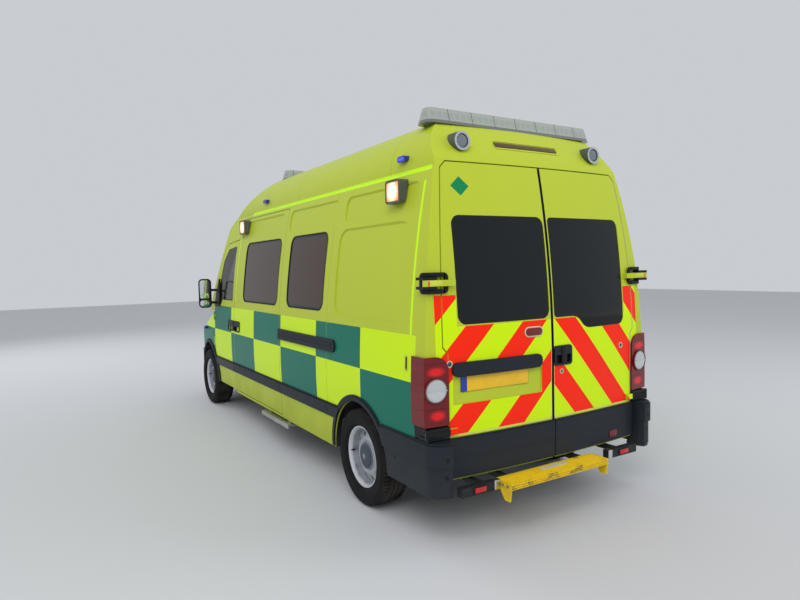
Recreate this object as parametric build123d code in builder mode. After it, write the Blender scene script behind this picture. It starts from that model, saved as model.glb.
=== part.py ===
"""Ambulance on a long, high-roofed panel van, in millimetres.

+X points forward, +Y to the vehicle's left, +Z up. The origin lies on the ground, under the middle
of the overall length and width. Bodywork stations are measured from the rear axle (rear_x) or the
front axle (front_x).
"""
from build123d import *

import os
from math import cos, radians, sin, sqrt

os.makedirs("parts", exist_ok=True)

# Overall sizes
WHEELBASE = 4078
NOSE_OVERHANG = 832
BUMPER_OUT = 15
REAR_REACH = 1110
rear_x = (REAR_REACH - WHEELBASE - NOSE_OVERHANG - BUMPER_OUT) / 2
front_x = rear_x + WHEELBASE
nose_x = front_x + NOSE_OVERHANG

# Body section: half widths and the heights where they hold
SILL_HALF = 966
SILL_Z = 320
BELT_HALF = 983
BELT_Z = 800
TUMBLE_HALF = 946
TUMBLE_Z = 1534
GUTTER_HALF = 825
GUTTER_Z = 2262
ROOF_FOOT = 13
ROOF_SIDE_HALF = 775
ROOF_SIDE_Z = 2450
SHOULDER_HALF = 650
SHOULDER_Z = 2595
CROWN_Z = 2637

# Rear face, measured behind the rear axle
REAR_FACE = 912
REAR_BEND_Z = 900
REAR_MID = 889
REAR_MID_Z = 1620
REAR_TOP = 787
REAR_TOP_Z = 2335
ROOF_REAR = 650
ROOF_REAR_Z = 2530
REAR_PLAN_R = 9000

# Windscreen on the centre line, measured from the front axle
SCREEN_FOOT = 52
SCREEN_FOOT_Z = 1220
SCREEN_HEAD = -458
SCREEN_HEAD_Z = 2050
SCREEN_R = 3000

# Roof front slope, measured from the front axle
BROW = -438
SLOPE_MID = -1166
SLOPE_MID_Z = 2397
SLOPE_TOP = -1928

# Bonnet and nose, measured from the front axle
BONNET_REAR_Z = 1245
BONNET_ANGLE = 22.6
BONNET_CROWN = 45
NOSE_HALF = 600
NOSE_SAG = 95
CORNER_X = 392
CORNER_HALF = 935
WING_X = -338
WING_HALF = 990

# Wheels and tyres
FRONT_TRACK = 1750
REAR_TRACK = 1725
TYRE_R = 343
TYRE_W = 225
RIM_R = 216
RIM_W = 176
RIM_WALL = 8
FRONT_ARCH_R = 440
REAR_ARCH_R = 400
ARCH_WALL = 6

# Cab door outline, measured from the front axle
CAB_DOOR_FRONT = -338
CAB_DOOR_REAR = -1134
CAB_DOOR_SILL_Z = 350
CAB_DOOR_BELT_Z = 1235
CAB_DOOR_PILLAR = (-548, 1806)
CAB_DOOR_BEND = (-612, 1908)
CAB_DOOR_TOP = (-720, 1990)
CAB_DOOR_TOP_Z = 2022
CAB_DOOR_ARCH_R = 502

# Sliding door and the windows behind it, measured from the rear axle
SLIDE_REAR = 1530
SLIDE_BOTTOM_Z = 350
SLIDE_TOP_Z = 2235
WINDOW_ONE = (1600, 2630)
WINDOW_TWO = (585, 1357)
WINDOW_Z = (1352, 1970)
WINDOW_R = 80

# Rear doors: half widths and heights of one leaf
REAR_LOW_HALF = 830
REAR_LAMP_HALF = 820
REAR_HIGH_HALF = 852
REAR_HEAD_HALF = 775
REAR_BOTTOM_Z = 400
REAR_CLAD_Z = 655
CLAD_RIDGE_Z = 530
CLAD_FOOT_Z = 412
PLATE_RECESS = ((100, 790), (850, 1030))
PLATE_BAR = ((110, 800), (1018, 1104))
PLATE_R = 36
PLATE_BAR_R = 38
REAR_PULL = ((-173, -10), (1007, 1139))
STOP_LAMP = ((-280, 300), (2436, 2484))
STOP_LAMP_R = 18
LAMP_TOP_Z = 1165
REAR_DOOR_TOP_Z = 2310
REAR_HINGE_X = -885
REAR_HINGE_HALF = 985
GLASS_NEAR = 20
GLASS_EDGE = 745
GLASS_R = 60
GLASS_DIP = 88
DIP_START = 200
DIP_MIDDLE = 280
DIP_END = 360
REAR_GLASS_Z = (1325, 1985)

# Moulding along the flanks
MOULD_Z = (550, 655)
MOULD_RIDGE_Z = (566, 643)
MOULD_JOINT = 6
RAIL_COVER = ((335, 1524), (1050, 1145))
RAIL_RIB = 13

# Wall and door thickness, seams and rabbets
WALL = 50
DOOR = 60
SKIN = 20
RABBET = 25
STEP_IN = 30
FLANGE_IN = 12
SEAM = 8
SLIDE_SEAM = 6
SEAT = 0.3
GLASS_OUT = 4
GLASS_IN = 10
TRIM_THIN = 9
TRIM_THICK = 20

# Pressed panels and joints of the flanks, measured from the rear axle: x from, x to, z from, z to, radius
RECESS = 8
RECESS_STEP = 9
SIDE_RECESSES = (
    (-600, 370, 1340, 1960, 100),
    (-650, 330, 2030, 2200, 60),
    (480, 1460, 2030, 2200, 60))
FRONT_RECESS = (1620, 2860, 2030, 2195, 60)
GROOVE = 4
SIDE_JOINT = 500
ROOF_JOINTS = (-250, 1350)


def van_form(inset):
    """The cab and load space as one solid, every face moved in by the inset."""
    with BuildPart() as form:
        with BuildSketch(Plane.YZ.offset(rear_x - REAR_REACH)):
            with BuildLine():
                Polyline(
                    (0, SILL_Z - inset), (SILL_HALF - inset, SILL_Z - inset),
                    (BELT_HALF - inset, BELT_Z))
                ThreePointArc(
                    (BELT_HALF - inset, BELT_Z), (TUMBLE_HALF - inset, TUMBLE_Z),
                    (GUTTER_HALF - inset, GUTTER_Z))
                roof_foot = (GUTTER_HALF - ROOF_FOOT - inset, GUTTER_Z + ROOF_FOOT)
                shoulder = (SHOULDER_HALF - inset / 2, SHOULDER_Z - inset)
                Line((GUTTER_HALF - inset, GUTTER_Z), roof_foot)
                ThreePointArc(roof_foot, (ROOF_SIDE_HALF - inset, ROOF_SIDE_Z - inset / 2), shoulder)
                crown = CROWN_Z - SHOULDER_Z
                crown_r = (SHOULDER_HALF**2 + crown**2) / (2 * crown)
                half_y = shoulder[0] / 2
                half_z = CROWN_Z - inset - crown_r + sqrt(crown_r**2 - half_y**2)
                ThreePointArc(shoulder, (half_y, half_z), (0, CROWN_Z - inset))
                mirror(about=Plane.YZ)
            make_face()
        extrude(amount=nose_x - rear_x + REAR_REACH)
        with BuildSketch(Plane.XZ):
            axis_x = rear_x - REAR_FACE + REAR_PLAN_R
            rear = rear_x + inset
            with BuildLine():
                Polyline((axis_x, 0), (rear - REAR_FACE, 0), (rear - REAR_FACE, REAR_BEND_Z))
                ThreePointArc(
                    (rear - REAR_FACE, REAR_BEND_Z), (rear - REAR_MID, REAR_MID_Z),
                    (rear - REAR_TOP, REAR_TOP_Z))
                Line((rear - REAR_TOP, REAR_TOP_Z), (rear - ROOF_REAR, ROOF_REAR_Z))
                ThreePointArc(
                    (rear - ROOF_REAR, ROOF_REAR_Z), (rear - ROOF_REAR + 62, ROOF_REAR_Z + 64),
                    (rear - ROOF_REAR + 170, ROOF_REAR_Z + 114))
                Polyline(
                    (rear - ROOF_REAR + 170, ROOF_REAR_Z + 114), (rear - ROOF_REAR + 300, CROWN_Z + 20),
                    (axis_x, CROWN_Z + 20), (axis_x, 0))
            make_face()
        revolve(axis=Axis((axis_x, 0, 0), (0, 0, 1)), mode=Mode.INTERSECT)
        foot = Vector(front_x + SCREEN_FOOT, 0, SCREEN_FOOT_Z)
        head = Vector(front_x + SCREEN_HEAD, 0, SCREEN_HEAD_Z)
        screen_plane = Plane(origin=foot, x_dir=(0, 1, 0), z_dir=(head - foot).normalized())
        with BuildSketch(screen_plane):
            reach = 1100
            sag = SCREEN_R - sqrt(SCREEN_R**2 - reach**2)
            with BuildLine():
                ThreePointArc((-reach, sag + inset), (0, inset), (reach, sag + inset))
                Polyline((reach, sag + inset), (reach, 8000), (-reach, 8000), (-reach, sag + inset))
            make_face()
        extrude(amount=5000, both=True, mode=Mode.INTERSECT)
        with BuildSketch(Plane.XZ):
            with BuildLine():
                brow = (front_x + BROW - inset, SCREEN_HEAD_Z - inset / 2)
                slope_top = (front_x + SLOPE_TOP, CROWN_Z + 5 - inset)
                ThreePointArc(brow, (front_x + SLOPE_MID - inset / 2, SLOPE_MID_Z - inset), slope_top)
                Polyline(
                    slope_top, (rear_x - REAR_REACH, CROWN_Z + 5 - inset), (rear_x - REAR_REACH, 0),
                    (nose_x, 0), (nose_x, SCREEN_FOOT_Z - 300), brow)
            make_face()
        extrude(amount=1200, both=True, mode=Mode.INTERSECT)
    return form.part


van = {inset: van_form(inset) for inset in
       (-TRIM_THICK, -BUMPER_OUT, -TRIM_THIN, 0, GLASS_OUT, RECESS, GLASS_IN, SKIN, RABBET, WALL, DOOR)}
van[SKIN + SEAT] = van_form(SKIN + SEAT)


def front_form(inset):
    """Bonnet, wings and nose as one solid, every face but the bottom moved in by the inset."""
    foot = Vector(front_x + SCREEN_FOOT, 0, BONNET_REAR_Z)
    slope = radians(BONNET_ANGLE)
    fall = Vector(cos(slope), 0, -sin(slope))
    with BuildPart() as form:
        with BuildSketch(Plane(origin=foot, x_dir=(0, 1, 0), z_dir=fall)):
            with BuildLine():
                ThreePointArc((0, -inset), (360, -12 - inset), (720, -BONNET_CROWN - inset))
                ThreePointArc(
                    (720, -BONNET_CROWN - inset), (880 - inset * 0.7, -100 - inset * 0.7),
                    (975 - inset, -210))
                Polyline((975 - inset, -210), (1000 - inset, -1300), (0, -1300))
                mirror(about=Plane.YZ)
            make_face()
        extrude(amount=1500, both=True)
        with BuildSketch(Plane.XY):
            nose = nose_x - inset
            corner = (front_x + CORNER_X - inset * 0.3, CORNER_HALF - inset)
            with BuildLine():
                ThreePointArc((nose, 0), (nose - NOSE_SAG / 4, NOSE_HALF / 2), (nose - NOSE_SAG, NOSE_HALF))
                ThreePointArc(
                    (nose - NOSE_SAG, NOSE_HALF), (front_x + 645 - inset * 0.7, 812 - inset * 0.7), corner)
                Polyline(
                    corner, (front_x + WING_X, WING_HALF - inset),
                    (front_x + CAB_DOOR_REAR, WING_HALF + 10 - inset), (front_x + CAB_DOOR_REAR, 0))
                mirror(about=Plane.XZ)
            make_face()
        extrude(amount=3000, mode=Mode.INTERSECT)
        with BuildSketch(Plane.XZ):
            with BuildLine():
                Polyline(
                    (front_x + CAB_DOOR_REAR, 0), (nose, 0), (nose, 640), (nose - 30, 690),
                    (nose - 120, 975), (nose - 420, 1110), (front_x - 200, 1800),
                    (front_x + CAB_DOOR_REAR, 1800), (front_x + CAB_DOOR_REAR, 0))
            make_face()
        extrude(amount=1200, both=True, mode=Mode.INTERSECT)
        with BuildSketch(Plane.YZ.offset(front_x + CAB_DOOR_REAR)):
            with BuildLine():
                Polyline((0, 0), (SILL_HALF - inset, 0), (SILL_HALF - inset, SILL_Z),
                         (BELT_HALF - inset, BELT_Z))
                ThreePointArc(
                    (BELT_HALF - inset, BELT_Z), (TUMBLE_HALF - inset, TUMBLE_Z),
                    (GUTTER_HALF - inset, GUTTER_Z))
                Line((GUTTER_HALF - inset, GUTTER_Z), (0, GUTTER_Z))
                mirror(about=Plane.YZ)
            make_face()
        extrude(amount=2500, mode=Mode.INTERSECT)
    return form.part


def cab_door_prism(growth):
    """The cab door's outline in the side view, cut round the front wheel arch, as a prism."""
    front = front_x + CAB_DOOR_FRONT
    rear = front_x + CAB_DOOR_REAR
    pillar = (front_x + CAB_DOOR_PILLAR[0], CAB_DOOR_PILLAR[1])
    bend = (front_x + CAB_DOOR_BEND[0], CAB_DOOR_BEND[1])
    top = (front_x + CAB_DOOR_TOP[0], CAB_DOOR_TOP[1])
    with BuildPart() as prism:
        with BuildSketch(Plane.XZ):
            with BuildLine():
                Polyline(top, (rear, CAB_DOOR_TOP_Z), (rear, CAB_DOOR_SILL_Z), (front, CAB_DOOR_SILL_Z),
                         (front, CAB_DOOR_BELT_Z), pillar)
                ThreePointArc(pillar, bend, top)
            make_face()
            with Locations((front_x, TYRE_R)):
                Circle(CAB_DOOR_ARCH_R, mode=Mode.SUBTRACT)
            if growth:
                offset(amount=growth, kind=Kind.INTERSECTION)
        extrude(amount=1300, both=True)
    return prism.part


def slide_door_prism(growth):
    """The sliding door's outline in the side view, behind the cab door's seam, as a prism."""
    front = front_x + CAB_DOOR_REAR - SEAM
    rear = rear_x + SLIDE_REAR
    with BuildPart() as prism:
        with BuildSketch(Plane.XZ):
            with Locations(((front + rear) / 2, (SLIDE_BOTTOM_Z + SLIDE_TOP_Z) / 2)):
                Rectangle(front - rear + 2 * growth, SLIDE_TOP_Z - SLIDE_BOTTOM_Z + 2 * growth)
        extrude(amount=1300, both=True)
    return prism.part


def side_prism(x_span, z_span, radius, growth=0):
    """A rounded rectangle of the side view, across the whole width."""
    with BuildPart() as prism:
        with BuildSketch(Plane.XZ):
            with Locations((sum(x_span) / 2, sum(z_span) / 2)):
                RectangleRounded(
                    x_span[1] - x_span[0] + 2 * growth, z_span[1] - z_span[0] + 2 * growth, radius + growth)
        extrude(amount=1300, both=True)
    return prism.part


def rear_prism(y_span, z_span, radius, growth=0):
    """A rounded rectangle seen from behind, along X past the rear face."""
    with BuildPart() as prism:
        with BuildSketch(Plane.YZ.offset(rear_x - REAR_REACH)):
            with Locations((sum(y_span) / 2, sum(z_span) / 2)):
                RectangleRounded(
                    y_span[1] - y_span[0] + 2 * growth, z_span[1] - z_span[0] + 2 * growth, radius + growth)
        extrude(amount=REAR_REACH - 500)
    return prism.part


def window_prism(span, growth):
    """A side window's opening, rounded, across the whole width."""
    return side_prism((rear_x + span[0], rear_x + span[1]), WINDOW_Z, WINDOW_R, growth)


def rear_door_prism(side, growth):
    """One rear door's outline seen from behind, as a prism along X."""
    with BuildPart() as prism:
        with BuildSketch(Plane.YZ.offset(rear_x - REAR_REACH)):
            with BuildLine():
                Polyline(
                    (side * SEAM / 2, REAR_BOTTOM_Z), (side * REAR_LOW_HALF, REAR_BOTTOM_Z),
                    (side * REAR_LOW_HALF, REAR_CLAD_Z), (side * REAR_LAMP_HALF, REAR_CLAD_Z),
                    (side * REAR_LAMP_HALF, LAMP_TOP_Z), (side * REAR_HIGH_HALF, LAMP_TOP_Z + 35))
                ThreePointArc(
                    (side * REAR_HIGH_HALF, LAMP_TOP_Z + 35), (side * 833, 1730),
                    (side * REAR_HEAD_HALF, REAR_DOOR_TOP_Z - 40))
                Polyline(
                    (side * REAR_HEAD_HALF, REAR_DOOR_TOP_Z - 40),
                    (side * (REAR_HEAD_HALF - 40), REAR_DOOR_TOP_Z), (side * SEAM / 2, REAR_DOOR_TOP_Z),
                    (side * SEAM / 2, REAR_BOTTOM_Z))
            make_face()
            if growth:
                offset(amount=growth, kind=Kind.INTERSECTION)
        extrude(amount=REAR_REACH)
    return prism.part


def rear_glass_prism(side, growth):
    """One rear window seen from behind; the right one dips at its outer lower corner."""
    low, high = REAR_GLASS_Z
    with BuildPart() as prism:
        with BuildSketch(Plane.YZ.offset(rear_x - REAR_REACH)):
            if side > 0:
                with Locations(((GLASS_NEAR + GLASS_EDGE) / 2, (low + high) / 2)):
                    RectangleRounded(GLASS_EDGE - GLASS_NEAR, high - low, GLASS_R)
            else:
                dip = low - GLASS_DIP
                with BuildLine():
                    Line((-GLASS_NEAR - 30, low), (-DIP_START, low))
                    ThreePointArc(
                        (-DIP_START, low), (-DIP_START - 45, low - 14), (-DIP_MIDDLE, low - GLASS_DIP / 2))
                    ThreePointArc(
                        (-DIP_MIDDLE, low - GLASS_DIP / 2), (-DIP_END + 45, dip + 14), (-DIP_END, dip))
                    Line((-DIP_END, dip), (-GLASS_EDGE + GLASS_R, dip))
                    TangentArc((-GLASS_EDGE + GLASS_R, dip), (-GLASS_EDGE, dip + GLASS_R), tangent=(-1, 0))
                    Line((-GLASS_EDGE, dip + GLASS_R), (-GLASS_EDGE, high - GLASS_R))
                    TangentArc((-GLASS_EDGE, high - GLASS_R), (-GLASS_EDGE + GLASS_R, high), tangent=(0, 1))
                    Line((-GLASS_EDGE + GLASS_R, high), (-GLASS_NEAR - 30, high))
                    TangentArc((-GLASS_NEAR - 30, high), (-GLASS_NEAR, high - 30), tangent=(1, 0))
                    Line((-GLASS_NEAR, high - 30), (-GLASS_NEAR, low + 30))
                    TangentArc((-GLASS_NEAR, low + 30), (-GLASS_NEAR - 30, low), tangent=(0, -1))
                make_face()
            if growth:
                offset(amount=growth)
        extrude(amount=REAR_REACH)
    return prism.part


# Door mirrors: x from and to, y from and to, z from and to; each glass and each arm by its lower and upper z
MIRROR_X = (-425, -335)
MIRROR_Y = (1030, 1182)
MIRROR_Z = (1245, 1592)
MIRROR_R = 46
MIRROR_TAPER = 14
MIRROR_RIM = 14
MIRROR_SUNK = 8
MIRROR_GLASSES = ((1350, 1578), (1259, 1338))
MIRROR_ARMS = ((1290, 1318), (1440, 1468))

cab_blank = cab_door_prism(0)
cab_step = cab_door_prism(-STEP_IN)
cab_opening = cab_door_prism(SEAM)
cab_flange = cab_door_prism(-FLANGE_IN)
slide_blank = slide_door_prism(0)
slide_step = slide_door_prism(-STEP_IN)
slide_opening = slide_door_prism(SLIDE_SEAM)
slide_flange = slide_door_prism(-FLANGE_IN)


def region(x_span, y_span, z_span):
    """A box between pairs of coordinates."""
    with BuildPart() as box:
        with Locations((sum(x_span) / 2, sum(y_span) / 2, sum(z_span) / 2)):
            Box(x_span[1] - x_span[0], y_span[1] - y_span[0], z_span[1] - z_span[0])
    return box.part


def across(x, z, radius, y_span):
    """A cylinder along Y."""
    with BuildPart() as rod:
        with BuildSketch(Plane.XZ.offset(-y_span[1])):
            with Locations((x, z)):
                Circle(radius)
        extrude(amount=y_span[1] - y_span[0])
    return rod.part


def upright(x, y, radius, z_span):
    """A cylinder along Z."""
    with BuildPart() as rod:
        with BuildSketch(Plane.XY.offset(z_span[0])):
            with Locations((x, y)):
                Circle(radius)
        extrude(amount=z_span[1] - z_span[0])
    return rod.part


def along(y, z, radius, x_span):
    """A cylinder along X."""
    with BuildPart() as rod:
        with BuildSketch(Plane.YZ.offset(x_span[0])):
            with Locations((y, z)):
                Circle(radius)
        extrude(amount=x_span[1] - x_span[0])
    return rod.part


def half_y(side):
    """The span of Y on one side, for region()."""
    return (0, 1300) if side > 0 else (-1300, 0)


FAR = rear_x - REAR_REACH
REAR_BUMPER_FRONT = rear_x - 330
REAR_BUMPER_Z = (330, 655)
front_arch = across(front_x, TYRE_R, FRONT_ARCH_R, (-1200, 1200))
rear_arch = across(rear_x, TYRE_R, REAR_ARCH_R, (-1200, 1200))


def common(first, *others):
    """What the first solid shares with all the others."""
    with BuildPart() as shared:
        add(first)
        for other in others:
            add(other, mode=Mode.INTERSECT)
    return shared.part


def without(first, *others):
    """The first solid with the others cut away."""
    with BuildPart() as rest:
        add(first)
        for other in others:
            add(other, mode=Mode.SUBTRACT)
    return rest.part


skin_layer = without(van[0], van[SKIN])
rabbet_layer = without(van[0], van[RABBET])
seat_layer = without(van[0], van[SKIN + SEAT])
door_core = without(van[SKIN], van[DOOR])
wall_layer = without(van[0], van[WALL])
glass_layer = without(van[GLASS_OUT], van[GLASS_IN])
groove_layer = without(van[0], van[GROOVE])
recess_layer = without(van[0], van[RECESS])
thin_layer = without(van[-TRIM_THIN], van[0])
trim_layer = without(van[-BUMPER_OUT], van[0])
thick_layer = without(van[-TRIM_THICK], van[0])
pull_layer = without(van[-TRIM_THIN], van[RECESS])


def pressed(recess):
    """A panel pressed into the flank in two steps, as a cutter."""
    x_from, x_to, z_from, z_to, radius = recess
    outline = ((rear_x + x_from, rear_x + x_to), (z_from, z_to), radius)
    with BuildPart() as cutter:
        add(common(groove_layer, side_prism(*outline, RECESS_STEP)))
        add(common(recess_layer, side_prism(*outline)))
    return cutter.part


def side_groove(x):
    """An upright joint between two panels of the flank, as a cutter."""
    return common(
        groove_layer,
        region((rear_x + x - GROOVE / 2, rear_x + x + GROOVE / 2), (-1300, 1300), (MOULD_Z[1], GUTTER_Z)))


# Pull handles: each a frame round a pocket, with a paddle over the pocket's upper part
PULL_R = 24
PULL_FRAME = 14
PULL_PADDLE = 48
PULL_LENGTH = 210
PULL_SET = 6
PULL_Z = (1010, 1128)
cab_rear = front_x + CAB_DOOR_REAR
CAB_PULL = ((cab_rear + PULL_SET, cab_rear + PULL_LENGTH), PULL_Z)
SLIDE_PULL = ((cab_rear - SEAM - PULL_LENGTH, cab_rear - SEAM - PULL_SET), PULL_Z)


def pocket(prism, spans):
    """A pull handle's pocket, as a cutter in the skin."""
    return common(recess_layer, prism(*spans, PULL_R, -PULL_FRAME))


def pull(prism, spans, half):
    """A pull handle's frame and paddle, on one half of the van."""
    (low, high), (bottom, top) = spans
    inner = (low + PULL_FRAME, high - PULL_FRAME), (top - PULL_FRAME - PULL_PADDLE, top - PULL_FRAME)
    with BuildPart() as handle:
        add(common(thin_layer, prism(*spans, PULL_R), half))
        add(prism(*spans, PULL_R, -PULL_FRAME), mode=Mode.SUBTRACT)
        add(common(pull_layer, prism(*inner, PULL_R - PULL_FRAME), half))
    return handle.part


centre_seam = region((FAR, rear_x - 500), (-SEAM, SEAM), (REAR_BOTTOM_Z, REAR_DOOR_TOP_Z))
rear_rabbets = [common(rear_door_prism(leaf, SEAM), rabbet_layer) for leaf in (1, -1)]
rear_openings = [rear_door_prism(leaf, -FLANGE_IN) for leaf in (1, -1)]
centre_opening = region(
    (FAR, rear_x - 500), (-STEP_IN, STEP_IN), (REAR_BOTTOM_Z + FLANGE_IN, REAR_DOOR_TOP_Z - FLANGE_IN))
cab_rabbet = common(cab_opening, rabbet_layer)
slide_rabbet = common(slide_opening, seat_layer)

# Side panels: the wall from the cab door's seam to the rear corner
side_panels = {}
for name, side in (("left_side_panel", 1), ("right_side_panel", -1)):
    with BuildPart() as panel:
        add(wall_layer)
        add(region((FAR, front_x + CAB_DOOR_REAR + FLANGE_IN), half_y(side), (SILL_Z - 5, GUTTER_Z)),
            mode=Mode.INTERSECT)
        for cut in (cab_rabbet, *rear_rabbets, *rear_openings, centre_seam, centre_opening, rear_arch):
            add(cut, mode=Mode.SUBTRACT)
        add(region((FAR, REAR_BUMPER_FRONT), (-1300, 1300), (0, REAR_BUMPER_Z[1])), mode=Mode.SUBTRACT)
        for recess in SIDE_RECESSES:
            add(pressed(recess), mode=Mode.SUBTRACT)
        add(side_groove(SIDE_JOINT), mode=Mode.SUBTRACT)
        add(window_prism(WINDOW_TWO, 0), mode=Mode.SUBTRACT)
        if side > 0:
            add(slide_rabbet, mode=Mode.SUBTRACT)
            add(slide_flange, mode=Mode.SUBTRACT)
        else:
            for cut in (window_prism(WINDOW_ONE, 0), pressed(FRONT_RECESS), side_groove(SLIDE_REAR)):
                add(cut, mode=Mode.SUBTRACT)
    side_panels[name] = panel

# Sliding door, held in its opening by the rabbet
with BuildPart() as sliding_door:
    add(common(skin_layer, slide_blank, region((FAR, nose_x), (0, 1300), (0, 3000))))
    add(common(door_core, slide_step, region((FAR, nose_x), (0, 1300), (0, 3000))))
    for cut in (window_prism(WINDOW_ONE, 0), pressed(FRONT_RECESS), pocket(side_prism, SLIDE_PULL)):
        add(cut, mode=Mode.SUBTRACT)

# Roof cap: everything above the gutter, with the header over the rear doors
with BuildPart() as roof_cap:
    add(wall_layer)
    add(region((FAR, nose_x), (-1300, 1300), (GUTTER_Z, 3000)), mode=Mode.INTERSECT)
    for cut in (*rear_rabbets, *rear_openings, centre_seam, centre_opening):
        add(cut, mode=Mode.SUBTRACT)
    for x in ROOF_JOINTS:
        add(common(groove_layer, region((rear_x + x - GROOVE / 2, rear_x + x + GROOVE / 2), (-1300, 1300),
                                        (GUTTER_Z + ROOF_FOOT, 3000))), mode=Mode.SUBTRACT)
    add(common(recess_layer, rear_prism(*STOP_LAMP, STOP_LAMP_R)), mode=Mode.SUBTRACT)

# Cab frame: windscreen pillars, the rails over the cab doors and the header, below the roof cap
SCREEN_BASE_Z = 1262
SCREEN_TOP_Z = 2010
SCREEN_BASE_HALF = 850
SCREEN_TOP_HALF = 745
SCREEN_CORNER = 70
screen_foot = Vector(front_x + SCREEN_FOOT, 0, SCREEN_FOOT_Z)
screen_head = Vector(front_x + SCREEN_HEAD, 0, SCREEN_HEAD_Z)
screen_rise = (screen_head - screen_foot).normalized()
screen_plane = Plane(origin=screen_foot, x_dir=(0, 1, 0), z_dir=Vector(-screen_rise.Z, 0, screen_rise.X) * -1)


def screen_prism(growth):
    """The windscreen's opening, square to the glass."""
    low = (SCREEN_BASE_Z - SCREEN_FOOT_Z) / screen_rise.Z
    high = (SCREEN_TOP_Z - SCREEN_FOOT_Z) / screen_rise.Z
    with BuildPart() as prism:
        with BuildSketch(screen_plane):
            with BuildLine():
                Polyline((-SCREEN_BASE_HALF, low), (SCREEN_BASE_HALF, low), (SCREEN_TOP_HALF, high),
                         (-SCREEN_TOP_HALF, high), (-SCREEN_BASE_HALF, low))
            make_face()
            fillet(vertices(), radius=SCREEN_CORNER)
            if growth:
                offset(amount=growth)
        extrude(amount=400, both=True)
    return prism.part


with BuildPart() as cab_frame:
    add(wall_layer)
    add(region((front_x + CAB_DOOR_REAR + FLANGE_IN, nose_x), (-1300, 1300), (SCREEN_FOOT_Z - 20, GUTTER_Z)),
        mode=Mode.INTERSECT)
    for cut in (cab_rabbet, cab_flange, screen_prism(0)):
        add(cut, mode=Mode.SUBTRACT)

FRONT_WALL = 40
BONNET_T = 25
BUMPER_TOP_Z = 655
BUMPER_BOTTOM_Z = 300
BUMPER_REAR = 400
BONNET_LIP_Z = 945
GRILLE_HALF = 465
BONNET_REAR = 125
BONNET_SWEEP = 12
BONNET_HINGE = (140, 1158)
BONNET_HINGE_HALF = 300
TRAY_Z = (1130, 1146)
TRAY_FRONT = 170
front = {inset: front_form(inset) for inset in (-BUMPER_OUT, -TRIM_THIN, 0, 4, BONNET_T, 30, FRONT_WALL, 60)}


def bonnet_prism(growth):
    """The bonnet's outline from above, as a prism."""
    with BuildPart() as prism:
        with BuildSketch(Plane.XY):
            rear = front_x + BONNET_REAR - growth
            corner = rear - BONNET_SWEEP
            with BuildLine():
                ThreePointArc((corner, -790 - growth), (rear, 0), (corner, 790 + growth))
                Polyline(
                    (corner, 790 + growth), (front_x + 300, 768 + growth), (front_x + 520, 640 + growth),
                    (nose_x, 560 + growth), (nose_x, -560 - growth), (front_x + 520, -640 - growth),
                    (front_x + 300, -768 - growth), (corner, -790 - growth))
            make_face()
        extrude(amount=2000)
    return prism.part


def lamp_prism(growth):
    """Both headlamps' outlines from the front, as prisms."""
    with BuildPart() as prism:
        with BuildSketch(Plane.YZ.offset(front_x + 330)):
            with BuildLine():
                Polyline((470, 705), (470, 880), (620, 935), (905, 925), (930, 760), (800, 705), (470, 705))
            make_face()
            fillet(vertices(), radius=30)
            if growth:
                offset(amount=growth)
            mirror(about=Plane.YZ)
        extrude(amount=600)
    return prism.part


upper_cab = common(van[0], region((FAR, nose_x), (-1300, 1300), (SCREEN_FOOT_Z - 20, 3000)))
bumper_zone = region((front_x + BUMPER_REAR - 60, nose_x + 50), (-1300, 1300), (0, BUMPER_TOP_Z))
bonnet_zone = region((FAR, nose_x + 50), (-1300, 1300), (BONNET_LIP_Z, 3000))
grille_zone = region((front_x + 500, nose_x + 50), (-GRILLE_HALF, GRILLE_HALF), (BUMPER_TOP_Z, BONNET_LIP_Z))
front_layer = without(front[0], front[FRONT_WALL])
with BuildPart() as wings:
    add(front_layer)
    add(region((front_x - 570, nose_x), (-1300, 1300), (CAB_DOOR_SILL_Z, 3000)), mode=Mode.INTERSECT)
    for cut in (cab_rabbet, cab_opening, front_arch, bumper_zone, upper_cab, lamp_prism(2),
                common(bonnet_prism(8), bonnet_zone), grille_zone,
                region((FAR, front_x + BONNET_REAR + 8), (-796, 796), (1000, 3000))):
        add(cut, mode=Mode.SUBTRACT)

with BuildPart() as bonnet:
    add(front[0])
    add(front[BONNET_T], mode=Mode.SUBTRACT)
    add(bonnet_prism(0), mode=Mode.INTERSECT)
    add(region((FAR, nose_x + 50), (-1300, 1300), (BONNET_LIP_Z + 6, 3000)), mode=Mode.INTERSECT)
    for y in (-BONNET_HINGE_HALF, BONNET_HINGE_HALF):
        add(across(front_x + BONNET_HINGE[0], BONNET_HINGE[1], 9, (y - 15, y + 15)))
        add(region((front_x + BONNET_HINGE[0], front_x + BONNET_HINGE[0] + 60), (y - 15, y + 15),
                   (BONNET_HINGE[1] - 9, BONNET_HINGE[1])))
        add(across(front_x + BONNET_HINGE[0], BONNET_HINGE[1], 4.3, (y - 16, y + 16)), mode=Mode.SUBTRACT)

# Scuttle: the tray ahead of the windscreen with the bonnet's hinge brackets
with BuildPart() as scuttle:
    add(common(wall_layer, region((front_x - 250, nose_x), (-790, 790), (TRAY_Z[0], SCREEN_FOOT_Z - 20))))
    add(common(front[FRONT_WALL],
               region((front_x - 280, front_x + TRAY_FRONT), (-790, 790), TRAY_Z)))
    for y in (-BONNET_HINGE_HALF, BONNET_HINGE_HALF):
        for low in (y - 31, y + 15.5):
            add(across(front_x + BONNET_HINGE[0], BONNET_HINGE[1], 9, (low, low + 15.5)))
            add(region((front_x + BONNET_HINGE[0] - 9, front_x + BONNET_HINGE[0] + 9), (low, low + 15.5),
                       (TRAY_Z[1], BONNET_HINGE[1])))
        add(across(front_x + BONNET_HINGE[0], BONNET_HINGE[1], 4, (y - 31, y + 31)))

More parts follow.
